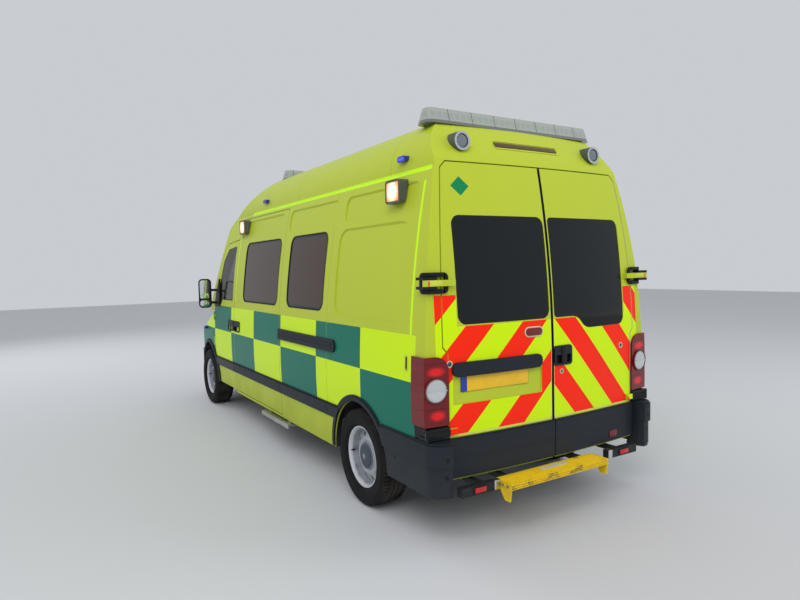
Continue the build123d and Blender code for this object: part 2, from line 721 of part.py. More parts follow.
# Headlamps, each with a bezel step round its lens
LAMP_DEPTH = 60
LAMP_BEZEL = 14
LAMP_STEP = 4
with BuildPart() as headlamps:
    add(front[0])
    add(front[LAMP_DEPTH], mode=Mode.SUBTRACT)
    add(lamp_prism(0), mode=Mode.INTERSECT)
    add(without(common(lamp_prism(-LAMP_BEZEL), front[0]), front[LAMP_STEP]), mode=Mode.SUBTRACT)

# Grille: a frame, a backing and its slats
GRILLE_FRAME = 26
SLATS = 5
SLAT_H = 24
SLAT_BACK = 30
with BuildPart() as grille:
    add(front_layer)
    add(grille_zone, mode=Mode.INTERSECT)
    mouth = (BUMPER_TOP_Z + GRILLE_FRAME, BONNET_LIP_Z - GRILLE_FRAME)
    opening = region((front_x + 500, nose_x + 50), (-GRILLE_HALF + GRILLE_FRAME, GRILLE_HALF - GRILLE_FRAME), mouth)
    add(without(common(opening, front[0]), front[SLAT_BACK]), mode=Mode.SUBTRACT)
    pitch = (mouth[1] - mouth[0]) / SLATS
    for slat in range(SLATS):
        low = mouth[0] + (slat + 0.5) * pitch - SLAT_H / 2
        add(common(front_layer, region((front_x + 500, nose_x + 50), (-GRILLE_HALF + 1, GRILLE_HALF - 1),
                                       (low, low + SLAT_H))))

# Front bumper with its air intake and lamp recesses
INTAKE = ((-420, 420), (375, 475))
FOG_HALF = 690
FOG_Z = 440
FOG_R = 52
with BuildPart() as front_bumper:
    add(front[-BUMPER_OUT])
    add(front[FRONT_WALL], mode=Mode.SUBTRACT)
    add(region((front_x + BUMPER_REAR - 60, nose_x + 50), (-1300, 1300), (BUMPER_BOTTOM_Z, BUMPER_TOP_Z)),
        mode=Mode.INTERSECT)
    add(front_arch, mode=Mode.SUBTRACT)
    add(without(region((front_x + 500, nose_x + 50), *INTAKE), front[BONNET_T]), mode=Mode.SUBTRACT)
    for side in (1, -1):
        add(without(along(side * FOG_HALF, FOG_Z, FOG_R, (front_x + 500, nose_x)), front[4]), mode=Mode.SUBTRACT)


left_half = region((FAR, nose_x + 50), (0, 1300), (0, 3000))
right_half = region((FAR, nose_x + 50), (-1300, 0), (0, 3000))
halves = {1: left_half, -1: right_half}
front_trim_layer = without(front[-BUMPER_OUT], front[0])
front_thin_layer = without(front[-TRIM_THIN], front[0])
HINGE_X = front_x + CAB_DOOR_FRONT + SEAM / 2
HINGE_HALF = 986
HINGE_R = 7
PIN_R = 4
RUN = 0.3
CAB_HINGES = (780, 1090)
KNUCKLE_H = 30


def cab_window_prism(growth):
    """The cab door's window in the side view, as a prism."""
    with BuildPart() as prism:
        with BuildSketch(Plane.XZ):
            with BuildLine():
                Polyline(
                    (front_x - 1069, 1345), (front_x - 650, 1345), (front_x - 600, 1290),
                    (front_x - 425, 1290), (front_x - 612, 1800), (front_x - 760, 1930),
                    (front_x - 1069, 1958), (front_x - 1069, 1345))
            make_face()
            fillet(vertices(), radius=25)
            if growth:
                offset(amount=growth)
        extrude(amount=1300, both=True)
    return prism.part


def mirror_sail():
    """The black panel at the front lower corner of both cab door windows, as a prism."""
    with BuildPart() as prism:
        with BuildSketch(Plane.XZ):
            with BuildLine():
                Polyline((front_x - 356, 1262), (front_x - 575, 1262), (front_x - 575, 1320), (front_x - 512, 1590),
                         (front_x - 484, 1590), (front_x - 356, 1262))
            make_face()
        extrude(amount=1300, both=True)
    return prism.part


cab_window = cab_window_prism(0)
cab_pane = cab_window_prism(-SEAT)
cab_doors = {}
cab_glasses = {}
door_trims = {}
hinge_slots = [upright(HINGE_X, side * HINGE_HALF, HINGE_R + 1, (z, z + 2 * KNUCKLE_H + 40))
               for side in (1, -1) for z in CAB_HINGES]
for name, side in (("left", 1), ("right", -1)):
    half = halves[side]
    with BuildPart() as door:
        add(common(skin_layer, cab_blank, half))
        add(common(door_core, cab_step, half))
        for cut in (cab_window, pocket(side_prism, CAB_PULL), *hinge_slots):
            add(cut, mode=Mode.SUBTRACT)
        for z in CAB_HINGES:
            low = z + KNUCKLE_H + RUN
            add(upright(HINGE_X, side * HINGE_HALF, HINGE_R, (low, low + 40 - 2 * RUN)))
            add(region((HINGE_X - 30, HINGE_X), tuple(sorted((side * 970, side * 984))), (low, low + 40 - 2 * RUN)))
        for z in CAB_HINGES:
            add(upright(HINGE_X, side * HINGE_HALF, PIN_R + RUN, (z, z + 2 * KNUCKLE_H + 40)),
                mode=Mode.SUBTRACT)
    cab_doors[name] = door
    with BuildPart() as glass:
        add(common(glass_layer, cab_pane, half))
    cab_glasses[name] = glass
    with BuildPart() as trim:
        strip = common(cab_blank, half, region((FAR, nose_x), (-1300, 1300), MOULD_Z))
        add(common(thin_layer, strip))
        add(common(thick_layer, strip, region((FAR, nose_x), (-1300, 1300), MOULD_RIDGE_Z)))
        sail = mirror_sail()
        add(common(trim_layer, half, sail))
        with BuildSketch(Plane.YZ.offset(front_x + MIRROR_X[0])):
            with Locations((side * sum(MIRROR_Y) / 2, sum(MIRROR_Z) / 2)):
                RectangleRounded(MIRROR_Y[1] - MIRROR_Y[0], MIRROR_Z[1] - MIRROR_Z[0], MIRROR_R)
        extrude(amount=MIRROR_X[1] - MIRROR_X[0], taper=MIRROR_TAPER)
        for low, high in MIRROR_GLASSES:
            with BuildSketch(Plane.YZ.offset(front_x + MIRROR_X[0])):
                with Locations((side * sum(MIRROR_Y) / 2, (low + high) / 2)):
                    RectangleRounded(MIRROR_Y[1] - MIRROR_Y[0] - 2 * MIRROR_RIM, high - low, MIRROR_R - MIRROR_RIM)
            extrude(amount=MIRROR_SUNK, mode=Mode.SUBTRACT)
        for low, high in MIRROR_ARMS:
            arm = region((front_x + MIRROR_X[0] + 20, front_x + MIRROR_X[0] + 62),
                         tuple(sorted((side * 900, side * (MIRROR_Y[0] + 20)))), (low, high))
            add(without(arm, van[0]))
        add(pull(side_prism, CAB_PULL, half))
    door_trims[name] = trim

with BuildPart() as wings_with_hinges:
    add(wings.part)
    for side in (1, -1):
        for z in CAB_HINGES:
            add(upright(HINGE_X, side * HINGE_HALF, HINGE_R + 1, (z, z + 2 * KNUCKLE_H + 40)), mode=Mode.SUBTRACT)
            for low in (z, z + KNUCKLE_H + 40):
                add(upright(HINGE_X, side * HINGE_HALF, HINGE_R, (low, low + KNUCKLE_H)))
                add(region((HINGE_X, HINGE_X + 30), tuple(sorted((side * 970, side * 984))), (low, low + KNUCKLE_H)))
            add(upright(HINGE_X, side * HINGE_HALF, PIN_R, (z, z + 2 * KNUCKLE_H + 40)))
wings = wings_with_hinges

# Rear doors
REAR_HINGES = (660, 1545)
LUG_ENDS = {660: 829, 1545: 900}
LUG_H = 17
STRAP_H = 36
STRAP_END = 770
STRAP_FOOT = 812
GAP = 0.5
rear_hinge_x = rear_x + REAR_HINGE_X
rear_doors = {}
rear_glasses = {}
claddings = {}
for name, side in (("left", 1), ("right", -1)):
    with BuildPart() as door:
        add(common(skin_layer, rear_door_prism(side, 0)))
        add(common(door_core, rear_door_prism(side, -STEP_IN)))
        add(rear_glass_prism(side, 0), mode=Mode.SUBTRACT)
        if side > 0:
            add(common(recess_layer, rear_prism(*PLATE_RECESS, PLATE_R)), mode=Mode.SUBTRACT)
        else:
            add(pocket(rear_prism, REAR_PULL), mode=Mode.SUBTRACT)
        for z in REAR_HINGES:
            low = z + LUG_H + GAP
            high = low + STRAP_H
            add(region((rear_hinge_x - 11, rear_hinge_x + 5), tuple(sorted((side * STRAP_END, side * REAR_HINGE_HALF))),
                       (low, high)))
            add(without(region((rear_hinge_x - 11, rear_hinge_x + 60),
                               tuple(sorted((side * STRAP_END, side * STRAP_FOOT))), (low, high)), van[0]))
            add(upright(rear_hinge_x, side * REAR_HINGE_HALF, 12, (low, high)))
            add(upright(rear_hinge_x, side * REAR_HINGE_HALF, 5 + RUN, (low, high)), mode=Mode.SUBTRACT)
    rear_doors[name] = door
    with BuildPart() as glass:
        add(common(glass_layer, rear_glass_prism(side, -SEAT)))
    rear_glasses[name] = glass
    with BuildPart() as cladding:
        door_face = common(rear_door_prism(side, 0), region((FAR, rear_x), (-1300, 1300), (CLAD_FOOT_Z, REAR_CLAD_Z)))
        add(common(trim_layer, door_face))
        add(common(thick_layer, door_face, region((FAR, rear_x), (-1300, 1300), (CLAD_RIDGE_Z, REAR_CLAD_Z - 8))))
        if side > 0:
            add(common(thick_layer, rear_prism(*PLATE_BAR, PLATE_BAR_R)))
        else:
            add(pull(rear_prism, REAR_PULL, right_half))
    claddings[name] = cladding

with BuildPart() as rear_hinges:
    for side in (1, -1):
        for z in REAR_HINGES:
            top = z + 2 * LUG_H + 2 * GAP + STRAP_H
            for low in (z, top - LUG_H):
                add(without(region((rear_hinge_x - 8, rear_hinge_x + 90),
                                   tuple(sorted((side * LUG_ENDS[z], side * REAR_HINGE_HALF))), (low, low + LUG_H)),
                            van[0]))
                add(upright(rear_hinge_x, side * REAR_HINGE_HALF, 12, (low, low + LUG_H)))
            add(upright(rear_hinge_x, side * REAR_HINGE_HALF, 5, (z, top)))

# Fixed glass: windscreen and side windows
with BuildPart() as windscreen:
    add(common(glass_layer, screen_prism(-SEAT), region((front_x - 700, nose_x), (-1300, 1300), (0, 3000))))
with BuildPart() as side_glass:
    add(common(glass_layer, window_prism(WINDOW_TWO, -SEAT)))
    add(common(glass_layer, window_prism(WINDOW_ONE, -SEAT)))

# Rear bumper corners in bands: set back, from z, to z
BUMPER_BANDS = ((14, REAR_BUMPER_Z[0], 350), (10, 350, 515), (0, 515, 643), (7, 643, REAR_BUMPER_Z[1]))


def bumper_band(back, out, z_span):
    """Both rear bumper corners between two heights."""
    with BuildPart() as band:
        with BuildSketch(Plane.XY.offset(z_span[0])):
            with BuildLine():
                Polyline((REAR_BUMPER_FRONT, 920), (REAR_BUMPER_FRONT, out - 3), (back + 110, out))
                ThreePointArc((back + 110, out), (back + 28, out - 33), (back, out - 90))
                Polyline((back, out - 90), (back, 866), (back + 44, 842), (back + 130, 842),
                         (back + 130, 920), (REAR_BUMPER_FRONT, 920))
            make_face()
            mirror(about=Plane.XZ)
        extrude(amount=z_span[1] - z_span[0])
    return band.part


with BuildPart() as rear_bumpers:
    for set_back, low, high in BUMPER_BANDS:
        add(bumper_band(rear_x - 974 + set_back, 995 - set_back, (low, high)))
    add(rear_arch, mode=Mode.SUBTRACT)

# Tail lamps wrapped round the corners, with a raised round lens
LAMP_Z = (740, 1150)
LAMP_SHOULDER = (828, 1072)
BOSS_HALF = 920
BOSS_Z = 950
BOSS_R = 80
lamp_boss = common(thick_layer, along(BOSS_HALF, BOSS_Z, BOSS_R, (FAR, rear_x - 735)))
with BuildPart() as tail_lamps:
    with BuildSketch(Plane.YZ.offset(FAR)):
        with BuildLine():
            Polyline((LAMP_SHOULDER[0], LAMP_SHOULDER[1]), (LAMP_SHOULDER[0], LAMP_Z[0]), (1300, LAMP_Z[0]),
                     (1300, LAMP_Z[1]), (920, LAMP_Z[1]))
            ThreePointArc((920, LAMP_Z[1]), (858, 1128), LAMP_SHOULDER)
        make_face()
        mirror(about=Plane.YZ)
    extrude(amount=REAR_REACH - 735)
    add(trim_layer, mode=Mode.INTERSECT)
    add(lamp_boss)
    mirror(lamp_boss, about=Plane.XZ)

# Mouldings and arch trims along both sides, each a thin outline with a raised middle
ARCH_TRIM = 43
ARCH_TRIM_EDGE = 13
with BuildPart() as side_mouldings:
    flank = (rear_x + 265, front_x + CAB_DOOR_REAR - SEAM)
    add(common(thin_layer, region(flank, (-1300, 1300), MOULD_Z)))
    raised = common(thick_layer, region(flank, (-1300, 1300), MOULD_RIDGE_Z))
    joints = [region((rear_x + x - MOULD_JOINT / 2, rear_x + x + MOULD_JOINT / 2), (-1300, 1300), MOULD_Z)
              for x in (SIDE_JOINT, SLIDE_REAR)]
    add(without(raised, *joints))
    behind_arch = region((REAR_BUMPER_FRONT, front_x), (-1300, 1300), (SILL_Z, 3000))
    add(common(thin_layer, across(rear_x, TYRE_R, REAR_ARCH_R + ARCH_TRIM, (-1200, 1200)), behind_arch))
    add(common(trim_layer, across(rear_x, TYRE_R, REAR_ARCH_R + ARCH_TRIM - ARCH_TRIM_EDGE, (-1200, 1200)),
               behind_arch))
    add(rear_arch, mode=Mode.SUBTRACT)
    wing_zone = region((front_x - 570, nose_x), (-1300, 1300), (CAB_DOOR_SILL_Z, 3000))
    add(common(front_thin_layer, across(front_x, TYRE_R, FRONT_ARCH_R + ARCH_TRIM, (-1200, 1200)), wing_zone))
    add(common(front_trim_layer, across(front_x, TYRE_R, FRONT_ARCH_R + ARCH_TRIM - ARCH_TRIM_EDGE, (-1200, 1200)),
               wing_zone))
    for cut in (front_arch, bumper_zone):
        add(cut, mode=Mode.SUBTRACT)
    cover = ((rear_x + RAIL_COVER[0][0], rear_x + RAIL_COVER[0][1]), RAIL_COVER[1])
    height = cover[1][1] - cover[1][0]
    add(common(trim_layer, left_half, side_prism(*cover, height / 2 - 1)))
    add(common(trim_layer, left_half, region((cover[0][1] - height, cover[0][1]), (0, 1300), cover[1])))
    for z in (cover[1][0] + 2 * RAIL_RIB, cover[1][1] - 3 * RAIL_RIB):
        add(common(thick_layer, left_half, region((cover[0][0] + height / 2, cover[0][1] - 4), (0, 1300),
                                                  (z, z + RAIL_RIB))))
    add(pull(side_prism, SLIDE_PULL, left_half))

# Rear step on two stays, its side brackets, and the square tubes beside it
STEP_MIDDLE = (-1035, 125)
STEP_SIZE = (150, 850)
STEP_Z = (349, 385)
STEP_GROOVES = (356, 370)
STEP_GROOVE = (6, 5)
TUBES = ((555, 845), (-704, -408))
TUBE_X = (-1018.3, -974.3)
TUBE_Z = (338, 394)
STAYS = (-560, -200, 450, 650)
with BuildPart() as rear_step:
    step_low = STEP_MIDDLE[1] - STEP_SIZE[1] / 2
    step_high = STEP_MIDDLE[1] + STEP_SIZE[1] / 2
    step_back = rear_x + STEP_MIDDLE[0] - STEP_SIZE[0] / 2
    add(region((step_back, step_back + STEP_SIZE[0]), (step_low, step_high), STEP_Z))
    for z in STEP_GROOVES:
        add(region((step_back, step_back + STEP_GROOVE[0]), (step_low, step_high), (z, z + STEP_GROOVE[1])),
            mode=Mode.SUBTRACT)
    for y in (step_low, step_high - 10):
        with BuildSketch(Plane.XZ.offset(-y - 10)):
            with BuildLine():
                Polyline(
                    (step_back + 4, STEP_Z[0]), (step_back + 16, 276), (step_back + 60, 276),
                    (step_back + 110, STEP_Z[0]), (step_back + 4, STEP_Z[0]))
            make_face()
        extrude(amount=10)
    for low, high in TUBES:
        add(region((rear_x + TUBE_X[0], rear_x + TUBE_X[1]), (low, high), TUBE_Z))
    for y in STAYS:
        add(region((rear_x - 1000, rear_x - 796), (y - 20, y + 20), (350, 380)))
        add(region((rear_x - 818, rear_x - 796), (y - 20, y + 20), (380, 412)))

# Side step under the sliding door, with a turned-down edge
with BuildPart() as side_step:
    add(region((rear_x + 1280, rear_x + 1990), (860, 1010), (288, 306)))
    add(region((rear_x + 1280, rear_x + 1990), (1000, 1010), (268, 288)))
    for x in (1380, 1890):
        add(region((rear_x + x - 20, rear_x + x + 20), (920, 960), (306, SILL_Z)))

# Lightbars over the roof: x of the middle, half width, half depth
BARS = ((rear_x - 520, 745, 78), (front_x - 1950, 660, 84))
BAR_Z = (2585, 2684)
BAR_TAPER = 16
with BuildPart() as lightbars:
    with BuildSketch(Plane.XY.offset(BAR_Z[0])):
        for x, half_width, half_depth in BARS:
            with Locations((x, 0)):
                RectangleRounded(2 * half_depth, 2 * half_width, half_depth - 12)
    extrude(amount=BAR_Z[1] - BAR_Z[0], taper=BAR_TAPER)
    add(van[0], mode=Mode.SUBTRACT)

# Blue marker lamps on the roof sides and on the wings: x, y, z of the middle, length, depth, height
MARKERS = ((rear_x + 2196, 812, 2370, 92, 50, 38), (rear_x - 422, 812, 2370, 92, 50, 38),
           (front_x + 150, 975, 962, 84, 40, 34))
with BuildPart() as blue_markers:
    for x, y, z, length, depth, height in MARKERS:
        with BuildSketch(Plane.XZ):
            with Locations((x, z)):
                RectangleRounded(length, height, 14)
        extrude(amount=y + depth / 2, both=True)
    for cut in (van[0], front[0], region((FAR, nose_x), (-780, 780), (0, 3000))):
        add(cut, mode=Mode.SUBTRACT)

# Floodlights on the roof sides and reversing lamps on the rear of the roof, each with a sunk lens
FLOODS = ((2750, 2147), (-420, 2160))
FLOOD_SIZE = (172, 150)
FLOOD_OUT = 908
FLOOD_IN = 800
FLOOD_RIM = 12
FLOOD_SUNK = 6
ROUND_LAMP = (590, 2450, 60)
ROUND_LAMP_X = (-748, -620)
with BuildPart() as work_lamps:
    for side in (1, -1):
        with BuildSketch(Plane.XZ.offset(-side * FLOOD_IN)):
            with Locations(*[(rear_x + x, z) for x, z in FLOODS]):
                RectangleRounded(*FLOOD_SIZE, 22)
        extrude(amount=-side * (FLOOD_OUT - FLOOD_IN))
        with BuildSketch(Plane.XZ.offset(-side * FLOOD_OUT)):
            with Locations(*[(rear_x + x, z) for x, z in FLOODS]):
                RectangleRounded(FLOOD_SIZE[0] - 2 * FLOOD_RIM, FLOOD_SIZE[1] - 2 * FLOOD_RIM, 12)
        extrude(amount=side * FLOOD_SUNK, mode=Mode.SUBTRACT)
        add(along(side * ROUND_LAMP[0], ROUND_LAMP[1], ROUND_LAMP[2], (rear_x + ROUND_LAMP_X[0],
                                                                      rear_x + ROUND_LAMP_X[1])))
        add(along(side * ROUND_LAMP[0], ROUND_LAMP[1], ROUND_LAMP[2] - 16, (rear_x + ROUND_LAMP_X[0],
                                                                           rear_x + ROUND_LAMP_X[0] + 8)),
            mode=Mode.SUBTRACT)
    add(van[0], mode=Mode.SUBTRACT)

# Wheels: the pressed rim with its slots and cap, and the tyre as rings of flats
RIM_SEAT = 24
DISC_R = 192
SLOT_COUNT = 10
SLOT_R = 158
SLOT_SIZE = (40, 25)
CAP_R = 92
TYRE_SIDES = 28
with BuildPart() as rim_master:
    with BuildSketch(Plane.XY):
        half = RIM_W / 2
        with BuildLine():
            Polyline(
                (RIM_R, -half), (RIM_R, half), (RIM_R - RIM_WALL, half), (DISC_R, half - RIM_SEAT),
                (DISC_R, 22), (CAP_R + 28, 50), (CAP_R + 8, 44), (CAP_R, 58), (40, 66), (40, 46),
                (26, 46), (26, -20), (60, -20), (CAP_R, 30), (CAP_R + 28, 38), (DISC_R, 8),
                (DISC_R, -half + RIM_SEAT), (RIM_R - RIM_WALL, -half), (RIM_R, -half))
        make_face()
    revolve(axis=Axis.Y)
    with BuildSketch(Plane.XZ):
        with PolarLocations(SLOT_R, SLOT_COUNT):
            SlotOverall(*SLOT_SIZE)
    extrude(amount=-100, mode=Mode.SUBTRACT)

# Half of the tyre's section: half width and radius at each ring, from the middle of the tread inwards
TYRE_RINGS = ((TYRE_W / 2 - 32, TYRE_R), (TYRE_W / 2 - 12, TYRE_R - 16), (TYRE_W / 2, RIM_R + 62),
              (TYRE_W / 2 - 8, RIM_R + 18), (RIM_W / 2 - 4, RIM_R + 4))
with BuildPart() as tyre_master:
    rings = [(-y, r) for y, r in reversed(TYRE_RINGS)] + list(TYRE_RINGS)
    for (low, low_r), (high, high_r) in zip(rings, rings[1:]):
        for y, r in ((low, low_r), (high, high_r)):
            with BuildSketch(Plane.XZ.offset(-y)):
                RegularPolygon(r, TYRE_SIDES)
        loft(ruled=True)
    with BuildSketch(Plane.XZ.offset(-TYRE_W)):
        RegularPolygon(RIM_R + SEAT, TYRE_SIDES, major_radius=False)
    extrude(amount=2 * TYRE_W, mode=Mode.SUBTRACT)
rims = {}
tyres = {}
WHEELS = (("front_left", front_x, 1, FRONT_TRACK), ("front_right", front_x, -1, FRONT_TRACK),
          ("rear_left", rear_x, 1, REAR_TRACK), ("rear_right", rear_x, -1, REAR_TRACK))
for name, x, side, track in WHEELS:
    place = Location((x, side * track / 2, TYRE_R), (0, 0, 0 if side > 0 else 180))
    with BuildPart() as rim:
        with Locations(place):
            add(rim_master.part)
    with BuildPart() as tyre:
        with Locations(place):
            add(tyre_master.part)
    rims[name] = rim
    tyres[name] = tyre

# Front knuckles, each with its stub axle and strut tube on the steering axis
KPI = 10
BALL_HALF = 800
BALL_Z = 200
STRUT_R = 25
STRUT_TOP_Z = 690
knuckles = {}
for name, side in (("left", 1), ("right", -1)):
    axis_dir = Vector(0, -side * sin(radians(KPI)), cos(radians(KPI)))
    ball = Vector(front_x, side * BALL_HALF, BALL_Z)
    with BuildPart() as knuckle:
        add(across(front_x, TYRE_R, 25.5, tuple(sorted((side * 770, side * (FRONT_TRACK / 2 + 28))))))
        add(across(front_x, TYRE_R, 55, tuple(sorted((side * 765, side * 795)))))
        add(region((front_x - 30, front_x + 30), tuple(sorted((side * 765, side * 795))), (250, 520)))
        low = 460
        with BuildSketch(Plane(origin=ball + axis_dir * ((low - BALL_Z) / axis_dir.Z), z_dir=axis_dir)):
            Circle(STRUT_R)
        extrude(amount=(STRUT_TOP_Z - low) / axis_dir.Z)
        with BuildSketch(Plane(origin=ball, z_dir=axis_dir)):
            Circle(9)
        extrude(amount=60)
    knuckles[name] = knuckle

# Front suspension: crossmember, lower arms, strut rods
with BuildPart() as front_suspension:
    add(region((front_x - 110, front_x + 110), (-400, 400), (220, 300)))
    for side in (1, -1):
        axis_dir = Vector(0, -side * sin(radians(KPI)), cos(radians(KPI)))
        ball = Vector(front_x, side * BALL_HALF, BALL_Z)
        add(region((front_x - 40, front_x + 40), tuple(sorted((side * 380, side * 800))), (160, 198)))
        with BuildSketch(Plane(origin=ball + axis_dir * ((STRUT_TOP_Z + RUN - BALL_Z) / axis_dir.Z), z_dir=axis_dir)):
            Circle(12)
        extrude(amount=70)
        add(common(region((front_x - 60, front_x + 60), tuple(sorted((side * 640, side * 760))), (750, 800)),
                   front_arch))
        add(region((front_x - 40, front_x + 40), tuple(sorted((side * 360, side * 400))), (160, 260)))

# Front wheelhouse liners
with BuildPart() as front_liners:
    for side in (1, -1):
        shell = without(across(front_x, TYRE_R, FRONT_ARCH_R + ARCH_WALL, (-1200, 1200)), front_arch)
        add(common(shell, front[FRONT_WALL],
                   region((front_x - 460, front_x + 460), tuple(sorted((side * 535, side * 1200))), (360, 1200))))
        add(common(across(front_x, TYRE_R, FRONT_ARCH_R + ARCH_WALL, (-1200, 1200)),
                   region((front_x - 460, front_x + 460), tuple(sorted((side * 535, side * 541))), (560, 1200))))

# Rear axle: beam, spindles and leaf springs, each leaf by its half length and its height in the middle
LEAVES = ((610, 352), (380, 338))
LEAF_T = 14
LEAF_RISE = 44
SPRING_Y = (480, 540)
with BuildPart() as rear_axle:
    add(across(rear_x, 310, 38, (-745, 745)))
    for side in (1, -1):
        add(across(rear_x, TYRE_R, 25.5, tuple(sorted((side * 735, side * (REAR_TRACK / 2 + 28))))))
        add(across(rear_x, TYRE_R, 60, tuple(sorted((side * 725, side * 755)))))
        for half_length, low in LEAVES:
            with BuildSketch(Plane.XZ.offset(-max(side * SPRING_Y[0], side * SPRING_Y[1]))):
                rise = LEAF_RISE * (half_length / LEAVES[0][0])**2
                with BuildLine():
                    ThreePointArc((rear_x - half_length, low + rise), (rear_x, low), (rear_x + half_length, low + rise))
                    Line((rear_x + half_length, low + rise), (rear_x + half_length, low + rise + LEAF_T))
                    ThreePointArc((rear_x + half_length, low + rise + LEAF_T), (rear_x, low + LEAF_T),
                                  (rear_x - half_length, low + rise + LEAF_T))
                    Line((rear_x - half_length, low + rise + LEAF_T), (rear_x - half_length, low + rise))
                make_face()
            extrude(amount=SPRING_Y[1] - SPRING_Y[0])
        add(region((rear_x - 60, rear_x + 60), tuple(sorted((side * 480, side * 540))), (330, 420)))
        for x in (-600, 600):
            add(region((rear_x + x - 20, rear_x + x + 20), tuple(sorted((side * 490, side * 530))), (392, 425)))

# Floor pan: floor, chassis rails, crossmembers and rear wheelhouses
FLOOR_Z = (545, 570)
DOOR_CLEAR = 6
with BuildPart() as floor_pan:
    add(common(van[WALL], region((rear_x - 780, rear_x + 1480), (-1300, 1300), FLOOR_Z)))
    add(region((rear_x + 1400, front_x - 280), (-900, 900), FLOOR_Z))
    with Locations((DOOR_CLEAR, 0, 0)):
        add(common(van[DOOR], region((rear_x - 860, rear_x - 770), (-900, 900), FLOOR_Z)))
        add(common(van[DOOR], region((rear_x - 860, rear_x - 800), (-800, 800), (412, 570))))
    for side in (1, -1):
        add(region((rear_x - 800, front_x - 120), tuple(sorted((side * 455, side * 530))), (425, FLOOR_Z[0])))
    for x in (-600, 600):
        add(common(van[WALL], region((rear_x + x - 30, rear_x + x + 30), (-1300, 1300), (480, FLOOR_Z[0]))))
    for x in (1700, 2500):
        add(region((rear_x + x - 30, rear_x + x + 30), (-900, 900), (480, FLOOR_Z[0])))
    add(common(van[WALL], region((front_x - 1168, front_x - 1130), (-1300, 1300), (480, FLOOR_Z[1]))))
    for side in (1, -1):
        add(across(rear_x, TYRE_R, REAR_ARCH_R, tuple(sorted((side * 590, side * 1200)))), mode=Mode.SUBTRACT)
        add(across(front_x, TYRE_R, FRONT_ARCH_R + ARCH_WALL, tuple(sorted((side * 535, side * 1200)))),
            mode=Mode.SUBTRACT)
        add(region((FAR, REAR_BUMPER_FRONT), tuple(sorted((side * 919.7, side * 1300))), (0, REAR_BUMPER_Z[1])),
            mode=Mode.SUBTRACT)
    for side in (1, -1):
        house = common(
            van[WALL], across(rear_x, TYRE_R, REAR_ARCH_R + 15, tuple(sorted((side * 590, side * 1200)))),
            region((rear_x - 420, rear_x + 420), (-1300, 1300), (FLOOR_Z[1] + SEAT, 1200)))
        add(without(house, across(rear_x, TYRE_R, REAR_ARCH_R, tuple(sorted((side * 605, side * 1200)))),
                    region((FAR, REAR_BUMPER_FRONT), tuple(sorted((side * 919.7, side * 1300))),
                           (0, REAR_BUMPER_Z[1]))))

# Firewall, bulkhead and cab furniture
with BuildPart() as firewall:
    add(common(front[FRONT_WALL], region((front_x - 280, front_x - 262), (-1300, 1300), (FLOOR_Z[0] + SEAT, TRAY_Z[0]))))
    for side in (1, -1):
        add(across(front_x, TYRE_R, FRONT_ARCH_R + ARCH_WALL, tuple(sorted((side * 535, side * 1200)))),
            mode=Mode.SUBTRACT)
with BuildPart() as bulkhead:
    add(common(van[WALL], region((front_x - 1168, front_x - 1143), (-1300, 1300), (570, 2240))))
    add(region((front_x - 1200, front_x - 1100), (-250, 250), (620, 1900)), mode=Mode.SUBTRACT)
# Dashboard section, x and z from the front axle and the ground, and the column's boss
DASH_SECTION = ((-280, 900), (-280, 1188), (-330, 1190), (-450, 1178), (-505, 1140), (-520, 1080), (-470, 900))
COLUMN_HALF = 420
with BuildPart() as dashboard:
    with BuildSketch(Plane.XZ):
        with BuildLine():
            Polyline(*[(front_x + x, z) for x, z in (*DASH_SECTION, DASH_SECTION[0])])
        make_face()
    extrude(amount=860, both=True)
    add(van[WALL], mode=Mode.INTERSECT)
    with BuildSketch(Plane(origin=(front_x - 640 + 0.8 * 90.3, -COLUMN_HALF, 1090 - 0.6 * 90.3), z_dir=(-0.8, 0, 0.6))):
        Circle(34)
    extrude(amount=-150)
with BuildPart() as steering_wheel:
    wheel_plane = Plane(origin=(front_x - 640, -420, 1090), z_dir=Vector(-0.8, 0, 0.6))
    with BuildSketch(wheel_plane):
        Circle(210)
        Circle(180, mode=Mode.SUBTRACT)
        Circle(50)
        with PolarLocations(0, 3, start_angle=90):
            Rectangle(190, 30, align=(Align.MIN, Align.CENTER))
    extrude(amount=22)
    with BuildSketch(wheel_plane):
        Circle(18)
    extrude(amount=-90)
# Cab seats: outlines in the side view, x from the front axle
SEAT_OUTLINES = (
    (250, ((-1100, 690), (-660, 690), (-640, 790), (-700, 838), (-980, 815), (-1100, 815))),
    (240, ((-1010, 800), (-955, 830), (-1040, 1380), (-1090, 1430), (-1130, 1400), (-1100, 800))),
    (130, ((-1055, 1420), (-1030, 1440), (-1050, 1590), (-1085, 1630), (-1130, 1600), (-1120, 1400))))
with BuildPart() as cab_seats:
    for y in (-COLUMN_HALF, COLUMN_HALF):
        for half_width, outline in SEAT_OUTLINES:
            with BuildSketch(Plane.XZ.offset(-y - half_width)):
                with BuildLine():
                    Polyline(*[(front_x + x, z) for x, z in (*outline, outline[0])])
                make_face()
                fillet(vertices(), radius=16)
            extrude(amount=2 * half_width)
        add(region((front_x - 1080, front_x - 720), (y - 200, y + 200), (570, 700)))
with BuildPart() as engine:
    with Locations((front_x + 240, 0, 620)):
        Box(560, 620, 520)
    add(region((front_x - 60, front_x + 60), (-150, 150), (300, 380)))
with BuildPart() as fuel_tank:
    with BuildSketch(Plane.YZ.offset(rear_x + 1120)):
        with Locations((0, 460)):
            RectangleRounded(800, 169, 40)
    extrude(amount=540)
with BuildPart() as exhaust:
    add(along(-620, 400, 30, (rear_x + 700, front_x - 700)))
    with BuildSketch(Plane.YZ.offset(rear_x + 1050)):
        with Locations((-660, 400)):
            RectangleRounded(140, 140, 50)
    extrude(amount=500)
    add(region((rear_x + 1680, rear_x + 1720), (-660, -600), (400, 480)))

